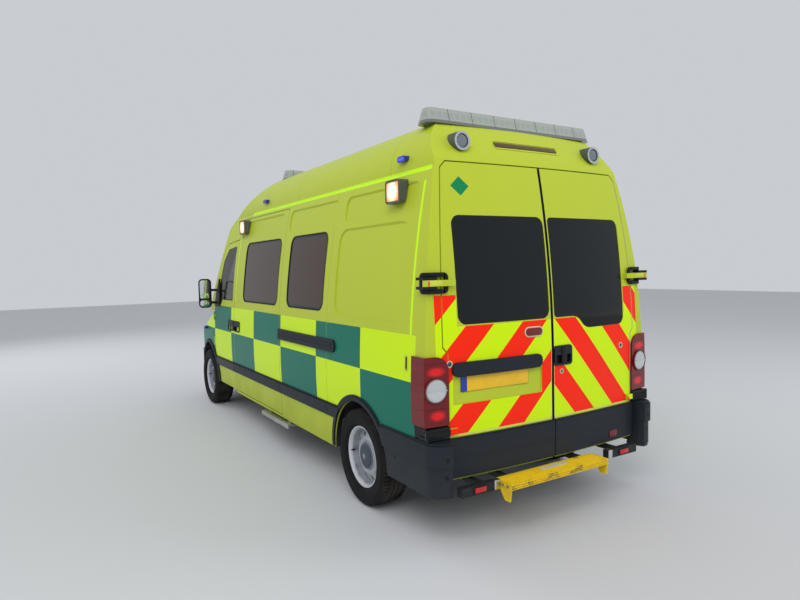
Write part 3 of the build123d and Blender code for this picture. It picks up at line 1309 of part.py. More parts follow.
pieces = dict(side_panels)
pieces.update(sliding_door=sliding_door, roof_cap=roof_cap, cab_frame=cab_frame, wings=wings, bonnet=bonnet,
              headlamps=headlamps, grille=grille, front_bumper=front_bumper, windscreen=windscreen,
              side_glass=side_glass, rear_bumpers=rear_bumpers, tail_lamps=tail_lamps,
              side_mouldings=side_mouldings, rear_step=rear_step, side_step=side_step, lightbars=lightbars,
              blue_markers=blue_markers, work_lamps=work_lamps, front_suspension=front_suspension,
              front_liners=front_liners, rear_axle=rear_axle, floor_pan=floor_pan, firewall=firewall,
              bulkhead=bulkhead, dashboard=dashboard, steering_wheel=steering_wheel, cab_seats=cab_seats,
              scuttle=scuttle, rear_hinges=rear_hinges, engine=engine, fuel_tank=fuel_tank, exhaust=exhaust)
for name in ("left", "right"):
    pieces[name + "_cab_door"] = cab_doors[name]
    pieces[name + "_cab_glass"] = cab_glasses[name]
    pieces[name + "_door_trim"] = door_trims[name]
    pieces[name + "_rear_door"] = rear_doors[name]
    pieces[name + "_rear_glass"] = rear_glasses[name]
    pieces[name + "_door_cladding"] = claddings[name]
    pieces[name + "_knuckle"] = knuckles[name]
for name in rims:
    pieces[name + "_rim"] = rims[name]
    pieces[name + "_tyre"] = tyres[name]
for name, piece in pieces.items():
    piece.part.label = name
    export_step(piece.part, "parts/" + name + ".step")
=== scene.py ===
"""High-roofed ambulance: paint, glass, lamps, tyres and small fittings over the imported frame.

All lengths are metres in the frame of the model: +X forwards, +Y to the vehicle's left, +Z up, with the
origin on the ground. Bodywork stations are measured forwards from the rear axle.
"""

from __future__ import annotations

import logging
import math
import operator
from collections.abc import Iterable
from dataclasses import dataclass, field
from enum import Enum
from functools import reduce

import bmesh
import bpy
from mathutils import Matrix, Vector
from mathutils.bvhtree import BVHTree

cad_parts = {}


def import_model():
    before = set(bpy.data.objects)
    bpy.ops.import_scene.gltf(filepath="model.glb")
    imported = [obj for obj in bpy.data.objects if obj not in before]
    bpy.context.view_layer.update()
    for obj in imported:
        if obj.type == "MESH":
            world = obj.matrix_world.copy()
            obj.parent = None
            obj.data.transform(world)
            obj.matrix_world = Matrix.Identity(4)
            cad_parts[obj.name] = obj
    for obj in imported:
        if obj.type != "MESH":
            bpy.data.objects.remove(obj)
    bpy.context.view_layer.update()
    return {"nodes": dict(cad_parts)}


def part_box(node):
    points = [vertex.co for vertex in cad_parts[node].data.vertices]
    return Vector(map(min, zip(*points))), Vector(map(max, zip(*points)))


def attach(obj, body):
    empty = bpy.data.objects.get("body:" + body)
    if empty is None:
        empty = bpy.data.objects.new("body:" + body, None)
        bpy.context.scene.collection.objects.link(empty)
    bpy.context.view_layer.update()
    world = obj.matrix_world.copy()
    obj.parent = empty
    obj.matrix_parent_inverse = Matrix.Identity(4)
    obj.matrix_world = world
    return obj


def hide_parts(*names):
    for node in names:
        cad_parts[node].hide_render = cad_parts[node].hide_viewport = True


LOG = logging.getLogger("ambulance")
Colour = tuple[float, float, float, float]
SIDES = {"left": 1, "right": -1}
WHEELS = ("front_left", "front_right", "rear_left", "rear_right")
WHEEL_RADIUS = 0.343

# Places that a finish and a fitting share: y and z on the rear and front; x from the rear axle, and z, on the
# flanks
PLATE_SIZE = (0.520, 0.107)
REAR_PLATE = (0.474, 0.9745)
FRONT_PLATE = (0.0, 0.575)
ROUND_LAMP = (0.918, 0.952)
FLOODS = ((2.750, 2.147), (-0.420, 2.160))
WINDOW_ONE = (1.600, 2.630)
WINDOW_TWO = (0.585, 1.357)
WINDOW_Z = (1.352, 1.970)


def srgb(red: int, green: int, blue: int) -> Colour:
    """Turns a colour written as 0 to 255 into linear light.

    Args:
        red: The red part.
        green: The green part.
        blue: The blue part.

    Returns:
        The colour with an alpha of 1.
    """
    parts = [value / 255 for value in (red, green, blue)]
    linear = [part / 12.92 if part <= 0.04045 else ((part + 0.055) / 1.055) ** 2.4 for part in parts]
    return (*linear, 1.0)


class Value:
    """A number that varies over a surface, with arithmetic that adds Math nodes."""

    def __init__(self, graph: Graph, socket: bpy.types.NodeSocket) -> None:
        """Wraps one output socket of the graph."""
        self.graph = graph
        self.socket = socket

    def _math(self, operation: str, *operands: Value | float) -> Value:
        """Adds a Math node.

        Args:
            operation: The node's operation.
            operands: Its inputs in order.

        Returns:
            The node's result.
        """
        node = self.graph.tree.nodes.new("ShaderNodeMath")
        node.operation = operation
        for target, operand in zip(node.inputs, operands):
            self.graph.feed(target, operand)
        return Value(self.graph, node.outputs[0])

    def __add__(self, other: Value | float) -> Value:
        """Adds."""
        return self._math("ADD", self, other)

    def __radd__(self, other: float) -> Value:
        """Adds a number on the left."""
        return self._math("ADD", other, self)

    def __sub__(self, other: Value | float) -> Value:
        """Subtracts."""
        return self._math("SUBTRACT", self, other)

    def __rsub__(self, other: float) -> Value:
        """Subtracts from a number."""
        return self._math("SUBTRACT", other, self)

    def __mul__(self, other: Value | float) -> Value:
        """Multiplies; on two masks, both."""
        return self._math("MULTIPLY", self, other)

    def __rmul__(self, other: float) -> Value:
        """Multiplies by a number on the left."""
        return self._math("MULTIPLY", other, self)

    def __truediv__(self, other: Value | float) -> Value:
        """Divides."""
        return self._math("DIVIDE", self, other)

    def __or__(self, other: Value | float) -> Value:
        """The larger; on two masks, either."""
        return self._math("MAXIMUM", self, other)

    def __gt__(self, edge: Value | float) -> Value:
        """A mask of 1 above the edge."""
        return self._math("GREATER_THAN", self, edge)

    def __lt__(self, edge: Value | float) -> Value:
        """A mask of 1 below the edge."""
        return self._math("LESS_THAN", self, edge)

    def __abs__(self) -> Value:
        """The size without its sign."""
        return self._math("ABSOLUTE", self)

    def least(self, other: Value | float) -> Value:
        """The smaller of the two."""
        return self._math("MINIMUM", self, other)

    def fraction(self) -> Value:
        """What is left over a whole number."""
        return self._math("FRACT", self)

    def root(self) -> Value:
        """The square root."""
        return self._math("SQRT", self)

    def within(self, low: float, high: float) -> Value:
        """A mask of 1 between two edges."""
        return (self > low) * (self < high)

    def ramp(self, low: float, high: float) -> Value:
        """A smooth rise from 0 at the low edge to 1 at the high one."""
        node = self.graph.node("ShaderNodeMapRange", {"interpolation_type": "SMOOTHSTEP"},
                               {0: self, 1: low, 2: high, 3: 0.0, 4: 1.0})
        return Value(self.graph, node.outputs[0])


def either(values: Iterable[Value]) -> Value:
    """The largest of some values; on masks, any of them."""
    return reduce(operator.or_, values)


def distance(first: Value, second: Value) -> Value:
    """The length of a flat vector from its two parts."""
    return (first * first + second * second).root()


class Graph:
    """The node tree of one material, built from a cleared Principled shader."""

    def __init__(self, name: str) -> None:
        """Makes the material with its shader and output.

        Args:
            name: The material's name.
        """
        self.material = bpy.data.materials.new(name)
        self.material.use_nodes = True
        self.tree = self.material.node_tree
        self.shader = self.tree.nodes["Principled BSDF"]
        coordinates = self.tree.nodes.new("ShaderNodeTexCoord")
        self.place = coordinates.outputs["Object"]
        self.x, self.y, self.z = self.split(self.place)
        self.facing = self.split(coordinates.outputs["Normal"])

    def feed(self, target: bpy.types.NodeSocket, source: object) -> None:
        """Sets an input to a number or colour, or links a value or socket to it."""
        if isinstance(source, Value):
            self.tree.links.new(source.socket, target)
        elif isinstance(source, bpy.types.NodeSocket):
            self.tree.links.new(source, target)
        else:
            target.default_value = source

    def node(self, kind: str, settings: dict[str, object], inputs: dict[int | str, object]) -> bpy.types.Node:
        """Adds any other node.

        Args:
            kind: The node's type.
            settings: Its properties, set first.
            inputs: The values or links of its inputs, by index or name.

        Returns:
            The new node.
        """
        node = self.tree.nodes.new(kind)
        for name, setting in settings.items():
            setattr(node, name, setting)
        for key, source in inputs.items():
            self.feed(node.inputs[key], source)
        return node

    def split(self, vector: bpy.types.NodeSocket) -> tuple[Value, Value, Value]:
        """The three parts of a vector."""
        node = self.node("ShaderNodeSeparateXYZ", {}, {0: vector})
        return tuple(Value(self, output) for output in node.outputs)

    def vector(self, x: object, y: object, z: object) -> bpy.types.NodeSocket:
        """A vector from three parts."""
        return self.node("ShaderNodeCombineXYZ", {}, {0: x, 1: y, 2: z}).outputs[0]

    def blend(self, mask: Value, under: object, over: object) -> bpy.types.NodeSocket:
        """Lays one colour over another where the mask is 1."""
        node = self.node("ShaderNodeMix", {"data_type": "RGBA"}, {0: mask, 6: under, 7: over})
        return node.outputs[2]

    def noise(self, scale: float, detail: float = 2.0, place: object = None) -> Value:
        """Cloudy noise in the object's own space, about 0.5."""
        where = self.place if place is None else place
        node = self.node("ShaderNodeTexNoise", {}, {"Vector": where, "Scale": scale, "Detail": detail})
        return Value(self, node.outputs[0])

    def bump(self, height: Value, distance: float, strength: float = 1.0) -> None:
        """Presses a height into the shader's normal."""
        node = self.node("ShaderNodeBump", {}, {"Height": height, "Distance": distance, "Strength": strength})
        self.feed(self.shader.inputs["Normal"], node.outputs[0])

    def set(self, **inputs: object) -> None:
        """Sets or links the shader's inputs by name, with underscores for spaces."""
        for name, source in inputs.items():
            self.feed(self.shader.inputs[name.replace("_", " ")], source)


class Tint(Enum):
    """The paints and films, as they look in even light."""

    LIME = srgb(186, 200, 52)
    FILM = srgb(208, 244, 0)
    GREEN = srgb(0, 112, 92)
    RED = srgb(255, 38, 0)
    DIAMOND = srgb(6, 132, 78)
    OUTLINE = srgb(214, 226, 104)
    EDGE = srgb(205, 255, 20)
    INNER = srgb(196, 198, 190)
    # Black of the black parts and printed borders, and also painted shade inside the wheel arches.
    BLACK_AND_SHADE = srgb(20, 21, 22)


@dataclass(frozen=True)
class Stations:
    """Heights and stations that the livery follows, measured from the rear axle."""

    rows: tuple[float, float, float] = (0.655, 0.985, 1.27)
    columns: tuple[float, ...] = (3.74, 3.05, 2.256, 1.489, 0.697, -0.058)
    rear_edge: float = -0.758
    strip_x: tuple[float, float] = (-0.712, -0.690)
    strip_z: tuple[float, float] = (1.27, 2.20)
    pillar_x: tuple[float, float] = (2.895, 2.912)
    pillar_z: tuple[float, float] = (1.34, 2.02)
    gutter_z: tuple[float, float] = (2.2625, 2.292)
    gutter_x: tuple[float, float] = (-0.74, 2.62)
    left_bands: tuple[float, float, float] = (0.925, 0.437, 0.21)
    right_bands: tuple[float, float, float] = (0.809, 0.40, 0.20)
    right_slope: float = 0.9
    panel_z: tuple[float, float] = (0.672, 1.318)
    wing_half: float = 0.752
    wing_top: float = 1.506
    plate_y: tuple[float, float] = (0.10, 0.79)
    plate_z: tuple[float, float] = (0.85, 1.03)
    film_half: float = 0.903
    seam_half: float = 0.011
    corner_x: float = -0.738
    corner_z: float = 0.742
    corner_y: float = 0.826
    # Height, reach and inner skin of the painted shade inside the wheel arches.
    arch_shade: tuple[float, float, float] = (WHEEL_RADIUS, 0.455, 0.962)
    axles: tuple[float, float] = (0.0, 4.078)
    side_pulls: tuple[float, float, float, float] = (2.846, 3.042, 1.012, 1.126)
    rear_pull: tuple[float, float, float, float] = (-0.171, -0.012, 1.009, 1.137)
    diamond: tuple[float, float, float] = (0.654, 2.163, 0.060)


@dataclass(frozen=True)
class Paint:
    """Two-coat gloss paint with reflective films laid on it."""

    stations: Stations
    rear_x: float

    def _finish(self, graph: Graph, colour: object) -> bpy.types.Material:
        """Gives the graph its gloss, road dirt and slight ripple."""
        dirt = (1.0 - (graph.z + graph.noise(3.1, 4.0) * 0.5 - 0.25).ramp(0.28, 0.62)) * 0.22
        speckle = graph.noise(140.0, 3.0).ramp(0.52, 0.75) * (1.0 - graph.z.ramp(0.3, 1.1)) * 0.2
        soiled = graph.blend(dirt | speckle, colour, srgb(96, 92, 80))
        graph.set(Base_Color=soiled, Roughness=0.36 + dirt * 1.2, Coat_Weight=0.08, Coat_Roughness=0.05,
                  Specular_IOR_Level=0.17)
        graph.bump(graph.noise(9.0, 1.0), 0.0012, 0.35)
        return graph.material

    def plain(self) -> bpy.types.Material:
        """The lime paint with nothing on it but the strips along the gutter."""
        graph = Graph("paint_plain")
        place = self.stations
        x = graph.x - self.rear_x
        strip = graph.z.within(*place.gutter_z) * x.within(*place.gutter_x) * (abs(graph.y) > 0.7)
        return self._finish(graph, graph.blend(strip, Tint.LIME.value, Tint.EDGE.value))

    def side(self) -> bpy.types.Material:
        """The flanks, with two rows of green and yellow film, the bright strips, black lamp feet and handles,
        and painted shade inside the wheel arches.
        """
        graph = Graph("paint_side")
        place = self.stations
        x = graph.x - self.rear_x
        outward = (graph.facing[1] * graph.y) > 0.25
        low, middle, high = place.rows
        odd = x < place.columns[0]
        for column in place.columns[1:]:
            odd = abs(odd - (x < column))
        upper = graph.z > middle
        green = abs(odd - (1.0 - upper))
        film = graph.z.within(low, high) * (x > place.rear_edge) * outward
        colour = graph.blend(film, Tint.LIME.value, graph.blend(green, Tint.FILM.value, Tint.GREEN.value))
        strip = x.within(*place.strip_x) * graph.z.within(*place.strip_z)
        strip = strip | x.within(*place.pillar_x) * graph.z.within(*place.pillar_z)
        colour = graph.blend(strip * outward, colour, Tint.EDGE.value)
        behind = (graph.facing[0] < -0.3) * (x < place.rear_edge) * (abs(graph.y) < place.film_half)
        wing = behind * graph.z.within(1.0, place.wing_top)
        colour = graph.blend(wing, colour, graph.blend(self._red(graph), Tint.FILM.value, Tint.RED.value))
        start, end, low, high = place.side_pulls
        dark = (x < place.corner_x) * (graph.z < place.corner_z)
        dark = dark | x.within(start, end) * graph.z.within(low, high)
        # Painted shade: inside each wheel arch, inboard of the outer skin, the paint is made near black.
        height, reach, skin = place.arch_shade
        for axle in place.axles:
            ahead = x - axle
            above = graph.z - height
            near = distance(ahead, above) < reach
            dark = dark | near * (abs(graph.y) < skin)
        colour = graph.blend(dark, colour, Tint.BLACK_AND_SHADE.value)
        inner = (graph.facing[1] * graph.y) < -0.25
        return self._finish(graph, graph.blend(inner, colour, Tint.INNER.value))

    def _red(self, graph: Graph) -> Value:
        """A mask of the red bands of the chevrons."""
        left = graph.y > 0
        start, period, width = self.stations.left_bands
        left_red = ((graph.y + graph.z - start) / period).fraction() < width / period
        start, period, width = self.stations.right_bands
        lean = (abs(graph.y) + graph.z * self.stations.right_slope - start) / period
        right_red = lean.fraction() < width / period
        return left * left_red | (1.0 - left) * right_red

    def rear(self) -> bpy.types.Material:
        """The rear doors, with red and yellow chevrons inside a pale outline."""
        graph = Graph("paint_rear")
        place = self.stations
        outward = graph.facing[0] < -0.3
        half = abs(graph.y)
        bottom, top = place.panel_z
        beside = (half > place.wing_half) * graph.z.within(bottom, place.wing_top)
        recess = graph.y.within(*place.plate_y) * graph.z.within(*place.plate_z)
        panel = (graph.z.within(bottom, top) | beside) * (1.0 - recess)
        colour = graph.blend(self._red(graph), Tint.FILM.value, Tint.RED.value)
        colour = graph.blend(panel * outward, Tint.LIME.value, colour)
        edge = graph.z.within(bottom - 0.012, bottom)
        edge = edge | half.within(0.004, 0.014) * graph.z.within(bottom, top)
        colour = graph.blend(edge * outward, colour, Tint.OUTLINE.value)
        across, up, reach = place.diamond
        diamond = (abs(graph.y - across) * 0.9 + abs(graph.z - up)) < reach
        colour = graph.blend(diamond * outward, colour, Tint.DIAMOND.value)
        low, high, bottom, top = place.rear_pull
        dark = graph.y.within(low, high) * graph.z.within(bottom, top) | (half < place.seam_half)
        dark = dark | (half > place.corner_y) * (graph.z < place.corner_z)
        colour = graph.blend(dark, colour, Tint.BLACK_AND_SHADE.value)
        inner = graph.facing[0] > 0.3
        return self._finish(graph, graph.blend(inner, colour, Tint.INNER.value))


@dataclass(frozen=True)
class Frames:
    """Rounded rectangles on one axis and z, whose insides a mask shows."""

    spans: tuple[tuple[float, float, float, float], ...]
    radius: float
    border: float

    def inside(self, across: Value, up: Value) -> Value:
        """A mask of 1 inside any of the rectangles, less the border.

        Args:
            across: The first coordinate.
            up: The second coordinate.

        Returns:
            The mask.
        """
        masks = []
        for low, high, bottom, top in self.spans:
            over = abs(across - (low + high) / 2) - ((high - low) / 2 - self.radius)
            above = abs(up - (bottom + top) / 2) - ((top - bottom) / 2 - self.radius)
            away = distance(over | 0.0, above | 0.0) + (over | above).least(0.0) - self.radius
            masks.append(away < -self.border)
        return either(masks)


@dataclass(frozen=True)
class Moulded:
    """Grained plastic, rubber or painted metal of one colour."""

    name: str
    colour: Colour
    roughness: float = 0.5
    metallic: float = 0.0
    grain: float = 600.0
    depth: float = 0.0004
    mottle: float = 0.25
    coat: float = 0.0
    dust: float = 0.0

    def material(self) -> bpy.types.Material:
        """Builds the material."""
        graph = Graph(self.name)
        cloud = graph.noise(6.0, 4.0)
        dark = tuple(part * (1.0 - self.mottle) for part in self.colour[:3]) + (1.0,)
        colour = graph.blend(cloud.ramp(0.3, 0.7), dark, self.colour)
        if self.dust:
            dusty = (1.0 - (graph.z + cloud * 0.3).ramp(0.3, 0.9)) * self.dust
            colour = graph.blend(dusty, colour, srgb(120, 116, 104))
        graph.set(Base_Color=colour, Roughness=self.roughness + (cloud - 0.5) * 0.15, Metallic=self.metallic,
                  Coat_Weight=self.coat, Coat_Roughness=0.1, Specular_IOR_Level=0.35)
        graph.bump(graph.noise(self.grain, 2.0), self.depth, 0.5)
        return graph.material


@dataclass(frozen=True)
class StepPaint:
    """Yellow non-slip paint, worn to grey on the treads and blackened at the edges."""

    rear_x: float
    edge_x: float = -1.110
    front: float = -0.955
    ends: tuple[float, float] = (-0.304, 0.553)

    def material(self) -> bpy.types.Material:
        """Builds the material."""
        graph = Graph("step_yellow")
        x = graph.x - self.rear_x
        cloud = graph.noise(14.0, 5.0)
        scratches = graph.noise(90.0, 3.0, graph.vector(graph.x * 0.2, graph.y, graph.z))
        edge = (x < self.edge_x + 0.012) * 0.06 + (graph.z < 0.374) * (x < self.edge_x + 0.004) * 0.03
        worn = (cloud * 0.6 + scratches * 0.4 + edge).ramp(0.60, 0.68) * (graph.z > 0.352) * 0.7
        grime = (cloud * 0.5 + scratches * 0.5).ramp(0.46, 0.74) * 0.30
        colour = graph.blend(grime, srgb(234, 196, 4), srgb(126, 102, 14))
        colour = graph.blend(worn, colour, srgb(92, 88, 70))
        steel = (x > self.front) | (graph.y > self.ends[1]) | (graph.y < self.ends[0])
        colour = graph.blend(steel, colour, srgb(24, 26, 29))
        graph.set(Base_Color=colour, Roughness=0.55 + cloud * 0.2, Coat_Weight=0.1, Coat_Roughness=0.2)
        graph.bump(graph.noise(380.0, 2.0), 0.0012, 0.7)
        return graph.material


@dataclass(frozen=True)
class TyreRubber:
    """Rubber with fine rings on the flank and dust on the tread."""

    name: str
    axle_x: float
    axle_z: float = WHEEL_RADIUS

    def material(self) -> bpy.types.Material:
        """Builds the material."""
        graph = Graph(self.name)
        ahead = graph.x - self.axle_x
        above = graph.z - self.axle_z
        radius = distance(ahead, above)
        cloud = graph.noise(9.0, 4.0)
        dusty = (radius.ramp(0.318, 0.342) * 0.30 + 0.05) * cloud.ramp(0.25, 0.75)
        rubber = graph.blend(dusty, srgb(15, 15, 17), srgb(96, 90, 80))
        graph.set(Base_Color=rubber, Roughness=0.70 + cloud * 0.2, Specular_IOR_Level=0.3)
        rings = abs((radius * 170.0).fraction() - 0.5) * radius.within(0.2385, 0.3000)
        graph.bump(rings * 0.6 + graph.noise(420.0, 2.0) * 0.5, 0.0012, 0.6)
        return graph.material


@dataclass(frozen=True)
class WheelPaint:
    """Silver wheel paint, bright on the lip, with patchy brake dust on its face and painted shade further in.
    """

    name: str
    axle_x: float
    face_y: float
    axle_z: float = WHEEL_RADIUS

    def material(self) -> bpy.types.Material:
        """Builds the material."""
        graph = Graph(self.name)
        ahead = graph.x - self.axle_x
        above = graph.z - self.axle_z
        radius = distance(ahead, above)
        cloud = graph.noise(22.0, 4.0)
        lip = radius.ramp(0.192, 0.204)
        # Painted shade: the wheel darkens further in from its face, where its recess lies in shade.
        painted_recess_shade = 1.0 - abs(graph.y).ramp(self.face_y - 0.115, self.face_y - 0.075)
        # Patchy brake dust on the face, together with the painted shade further in.
        grime = (1.0 - lip) * cloud.ramp(0.40, 0.85) * 0.45 | painted_recess_shade * 0.8
        colour = graph.blend(lip, srgb(184, 188, 194), srgb(214, 217, 220))
        colour = graph.blend(grime, colour, srgb(70, 66, 62))
        graph.set(Base_Color=colour, Roughness=0.38 + cloud * 0.12, Metallic=0.55, Coat_Weight=0.35,
                  Coat_Roughness=0.12)
        graph.bump(graph.noise(700.0, 2.0), 0.0003, 0.4)
        return graph.material


@dataclass(frozen=True)
class Pane:
    """Bonded glass with a black printed border."""

    name: str
    colour: Colour
    alpha: float
    frames: Frames | None = None
    across_y: bool = False

    def material(self) -> bpy.types.Material:
        """Builds the material."""
        graph = Graph(self.name)
        colour, alpha = self.colour, self.alpha
        if self.frames:
            inside = self.frames.inside(abs(graph.y) if self.across_y else graph.x, graph.z)
            colour = graph.blend(inside, Tint.BLACK_AND_SHADE.value, self.colour)
            alpha = 1.0 - inside * (1.0 - self.alpha)
        graph.set(Base_Color=colour, Roughness=0.035 + graph.noise(5.0) * 0.03, Alpha=alpha,
                  Specular_IOR_Level=0.30, Coat_Weight=0.05, Coat_Roughness=0.02)
        graph.bump(graph.noise(1.4, 1.0), 0.004, 0.25)
        return graph.material


@dataclass(frozen=True)
class Lens:
    """A moulded lamp lens with fine flutes, lit a little from inside."""

    name: str
    colour: Colour
    glow: float = 0.0
    flutes: float = 160.0
    roughness: float = 0.12

    def material(self) -> bpy.types.Material:
        """Builds the material."""
        graph = Graph(self.name)
        wave = abs((graph.y * self.flutes).fraction() - 0.5)
        cell = abs((graph.z * self.flutes).fraction() - 0.5)
        dark = tuple(part * 0.72 for part in self.colour[:3]) + (1.0,)
        colour = graph.blend((wave + cell).ramp(0.2, 0.8), dark, self.colour)
        graph.set(Base_Color=colour, Roughness=self.roughness, Coat_Weight=0.3, Coat_Roughness=0.04,
                  Emission_Color=colour, Emission_Strength=self.glow)
        graph.bump(wave + cell + graph.noise(40.0) * 0.3, 0.0012, 0.5)
        return graph.material


@dataclass(frozen=True)
class FloodLens:
    """The lit lens of a floodlight, white in its middle and warm at its edges."""

    middles: tuple[tuple[float, float], ...]
    reach: float = 0.088

    def material(self) -> bpy.types.Material:
        """Builds the material."""
        graph = Graph("flood_lens")
        lit = either(1.0 - distance(graph.x - ahead, graph.z - up).ramp(self.reach * 0.25, self.reach)
                     for ahead, up in self.middles)
        cell = abs((graph.x * 37.7).fraction() - 0.5) + abs((graph.z * 36.4).fraction() - 0.5)
        colour = graph.blend(lit, srgb(216, 128, 54), srgb(255, 246, 216))
        colour = graph.blend(cell.ramp(0.55, 0.95) * 0.35, colour, srgb(190, 150, 96))
        graph.set(Base_Color=colour, Roughness=0.2, Emission_Color=colour, Emission_Strength=0.85)
        graph.bump(cell, 0.002, 0.6)
        return graph.material


@dataclass(frozen=True)
class TailLens:
    """The dark red tail lamp, brighter over its two bulbs, with moulded part lines."""

    bulbs: tuple[tuple[float, float, float, float], ...] = ((0.905, 0.802, 0.062, 0.036),
                                                            (0.915, 1.062, 0.070, 0.034))
    lines: tuple[float, ...] = (0.843, 1.112)

    def material(self) -> bpy.types.Material:
        """Builds the material."""
        graph = Graph("tail_lens")
        prism = abs((graph.y * 240.0).fraction() - 0.5) + abs((graph.z * 240.0).fraction() - 0.5)
        half = abs(graph.y)
        bright = either(1.0 - distance((half - across) / wide, (graph.z - up) / tall).ramp(0.35, 1.05)
                        for across, up, wide, tall in self.bulbs)
        colour = graph.blend(prism.ramp(0.1, 0.9) * 0.4, srgb(118, 2, 12), srgb(70, 0, 8))
        colour = graph.blend(bright, colour, srgb(226, 12, 16))
        line = either(abs(graph.z - height) < 0.0016 for height in self.lines)
        colour = graph.blend(line, colour, srgb(34, 2, 6))
        graph.set(Base_Color=colour, Roughness=0.14 + bright * 0.1, Coat_Weight=0.25, Coat_Roughness=0.04,
                  Specular_IOR_Level=0.35)
        graph.bump(prism * 0.5 - line * 1.5, 0.0014, 0.5)
        return graph.material


@dataclass(frozen=True)
class HeadLens:
    """A headlamp: bright bowls round the bulbs in a greyer housing, behind clear plastic."""

    bowls: tuple[tuple[float, float, float], ...] = ((0.800, 0.772, 0.062), (0.610, 0.768, 0.052),
                                                     (0.845, 0.872, 0.036))

    def material(self) -> bpy.types.Material:
        """Builds the material."""
        graph = Graph("head_lens")
        half = abs(graph.y)
        bowl = either(1.0 - distance(half - across, graph.z - up).ramp(radius * 0.9, radius)
                      for across, up, radius in self.bowls)
        flutes = abs((graph.y * 60.0).fraction() - 0.5)
        colour = graph.blend(flutes.ramp(0.1, 0.9), srgb(122, 130, 138), srgb(150, 158, 164))
        colour = graph.blend(bowl, colour, srgb(206, 212, 216))
        graph.set(Base_Color=colour, Roughness=0.10 + flutes * 0.05, Coat_Weight=0.5, Coat_Roughness=0.03)
        graph.bump(flutes * (1.0 - bowl), 0.0015, 0.5)
        return graph.material


@dataclass(frozen=True)
class RoundLens:
    """The clear two-part lens, fluted upright above its line and crossed below it."""

    name: str
    middle: tuple[float, float]
    radius: float = 0.072

    def material(self) -> bpy.types.Material:
        """Builds the material."""
        graph = Graph(self.name)
        across = graph.y - self.middle[0]
        up = graph.z - self.middle[1]
        reach = distance(across, up)
        lower = up < 0.0
        flutes = abs((across * 150.0).fraction() - 0.5)
        cross = flutes + abs((up * 150.0).fraction() - 0.5)
        pattern = flutes * (1.0 - lower) * 1.6 + cross * lower
        rim = reach.ramp(self.radius * 0.80, self.radius)
        colour = graph.blend(pattern.ramp(0.1, 0.9), srgb(150, 156, 158), srgb(222, 226, 226))
        colour = graph.blend(rim, colour, srgb(108, 96, 96))
        graph.set(Base_Color=colour, Roughness=0.10 + rim * 0.1, Coat_Weight=0.9, Coat_Roughness=0.03)
        graph.bump(pattern, 0.0015, 0.6)
        return graph.material


@dataclass(frozen=True)
class BarLens:
    """The pale lens of a lightbar, dark at its joints and its foot, with the lamp cells showing inside."""

    spacing: float = 0.190
    foot: float = 2.606

    def material(self) -> bpy.types.Material:
        """Builds the material."""
        graph = Graph("bar_lens")
        off = abs((graph.y / self.spacing + 0.5).fraction() - 0.5)
        joint = off < 0.0030 / self.spacing
        cell = ((graph.y / 0.0475).fraction()).within(0.12, 0.88) * graph.z.within(2.618, 2.660)
        stripe = abs((graph.y * 190.0).fraction() - 0.5)
        colour = graph.blend(cell * 0.22, srgb(160, 166, 156), srgb(104, 118, 124))
        colour = graph.blend(joint * 0.75, colour, srgb(48, 54, 60))
        colour = graph.blend(graph.z < self.foot, colour, srgb(104, 109, 104))
        graph.set(Base_Color=colour, Roughness=0.16 + stripe * 0.1, Coat_Weight=0.7, Coat_Roughness=0.05)
        graph.bump(stripe * 0.4 - joint * 1.2, 0.0018, 0.5)
        return graph.material


@dataclass(frozen=True)
class PlateFilm:
    """The bare reflective film of a number plate, with a plain band at one end."""

    name: str
    colour: Colour
    middle: tuple[float, float]
    half: tuple[float, float]
    band_side: float
    band_width: float = 0.0445
    edge_width: float = 0.0035
    comb: float = 330.0

    def material(self) -> bpy.types.Material:
        """Builds the material."""
        graph = Graph(self.name)
        across = graph.y - self.middle[0]
        up = graph.z - self.middle[1]
        band = (across * self.band_side) > (self.half[0] - self.band_width)
        edge = (abs(across) > self.half[0] - self.edge_width) | (abs(up) > self.half[1] - self.edge_width)
        rising = abs(((graph.y + graph.z) * self.comb).fraction() - 0.5)
        falling = abs(((graph.y - graph.z) * self.comb).fraction() - 0.5)
        grime = graph.noise(11.0, 4.0).ramp(0.45, 0.8) * 0.14
        colour = graph.blend(band, self.colour, srgb(22, 60, 160))
        colour = graph.blend(grime, colour, srgb(112, 100, 70))
        colour = graph.blend(edge * 0.5, colour, srgb(60, 52, 30))
        graph.set(Base_Color=colour, Roughness=0.34 + grime, Coat_Weight=0.3, Coat_Roughness=0.1)
        graph.bump((rising + falling) * 0.4, 0.0006, 0.4)
        return graph.material


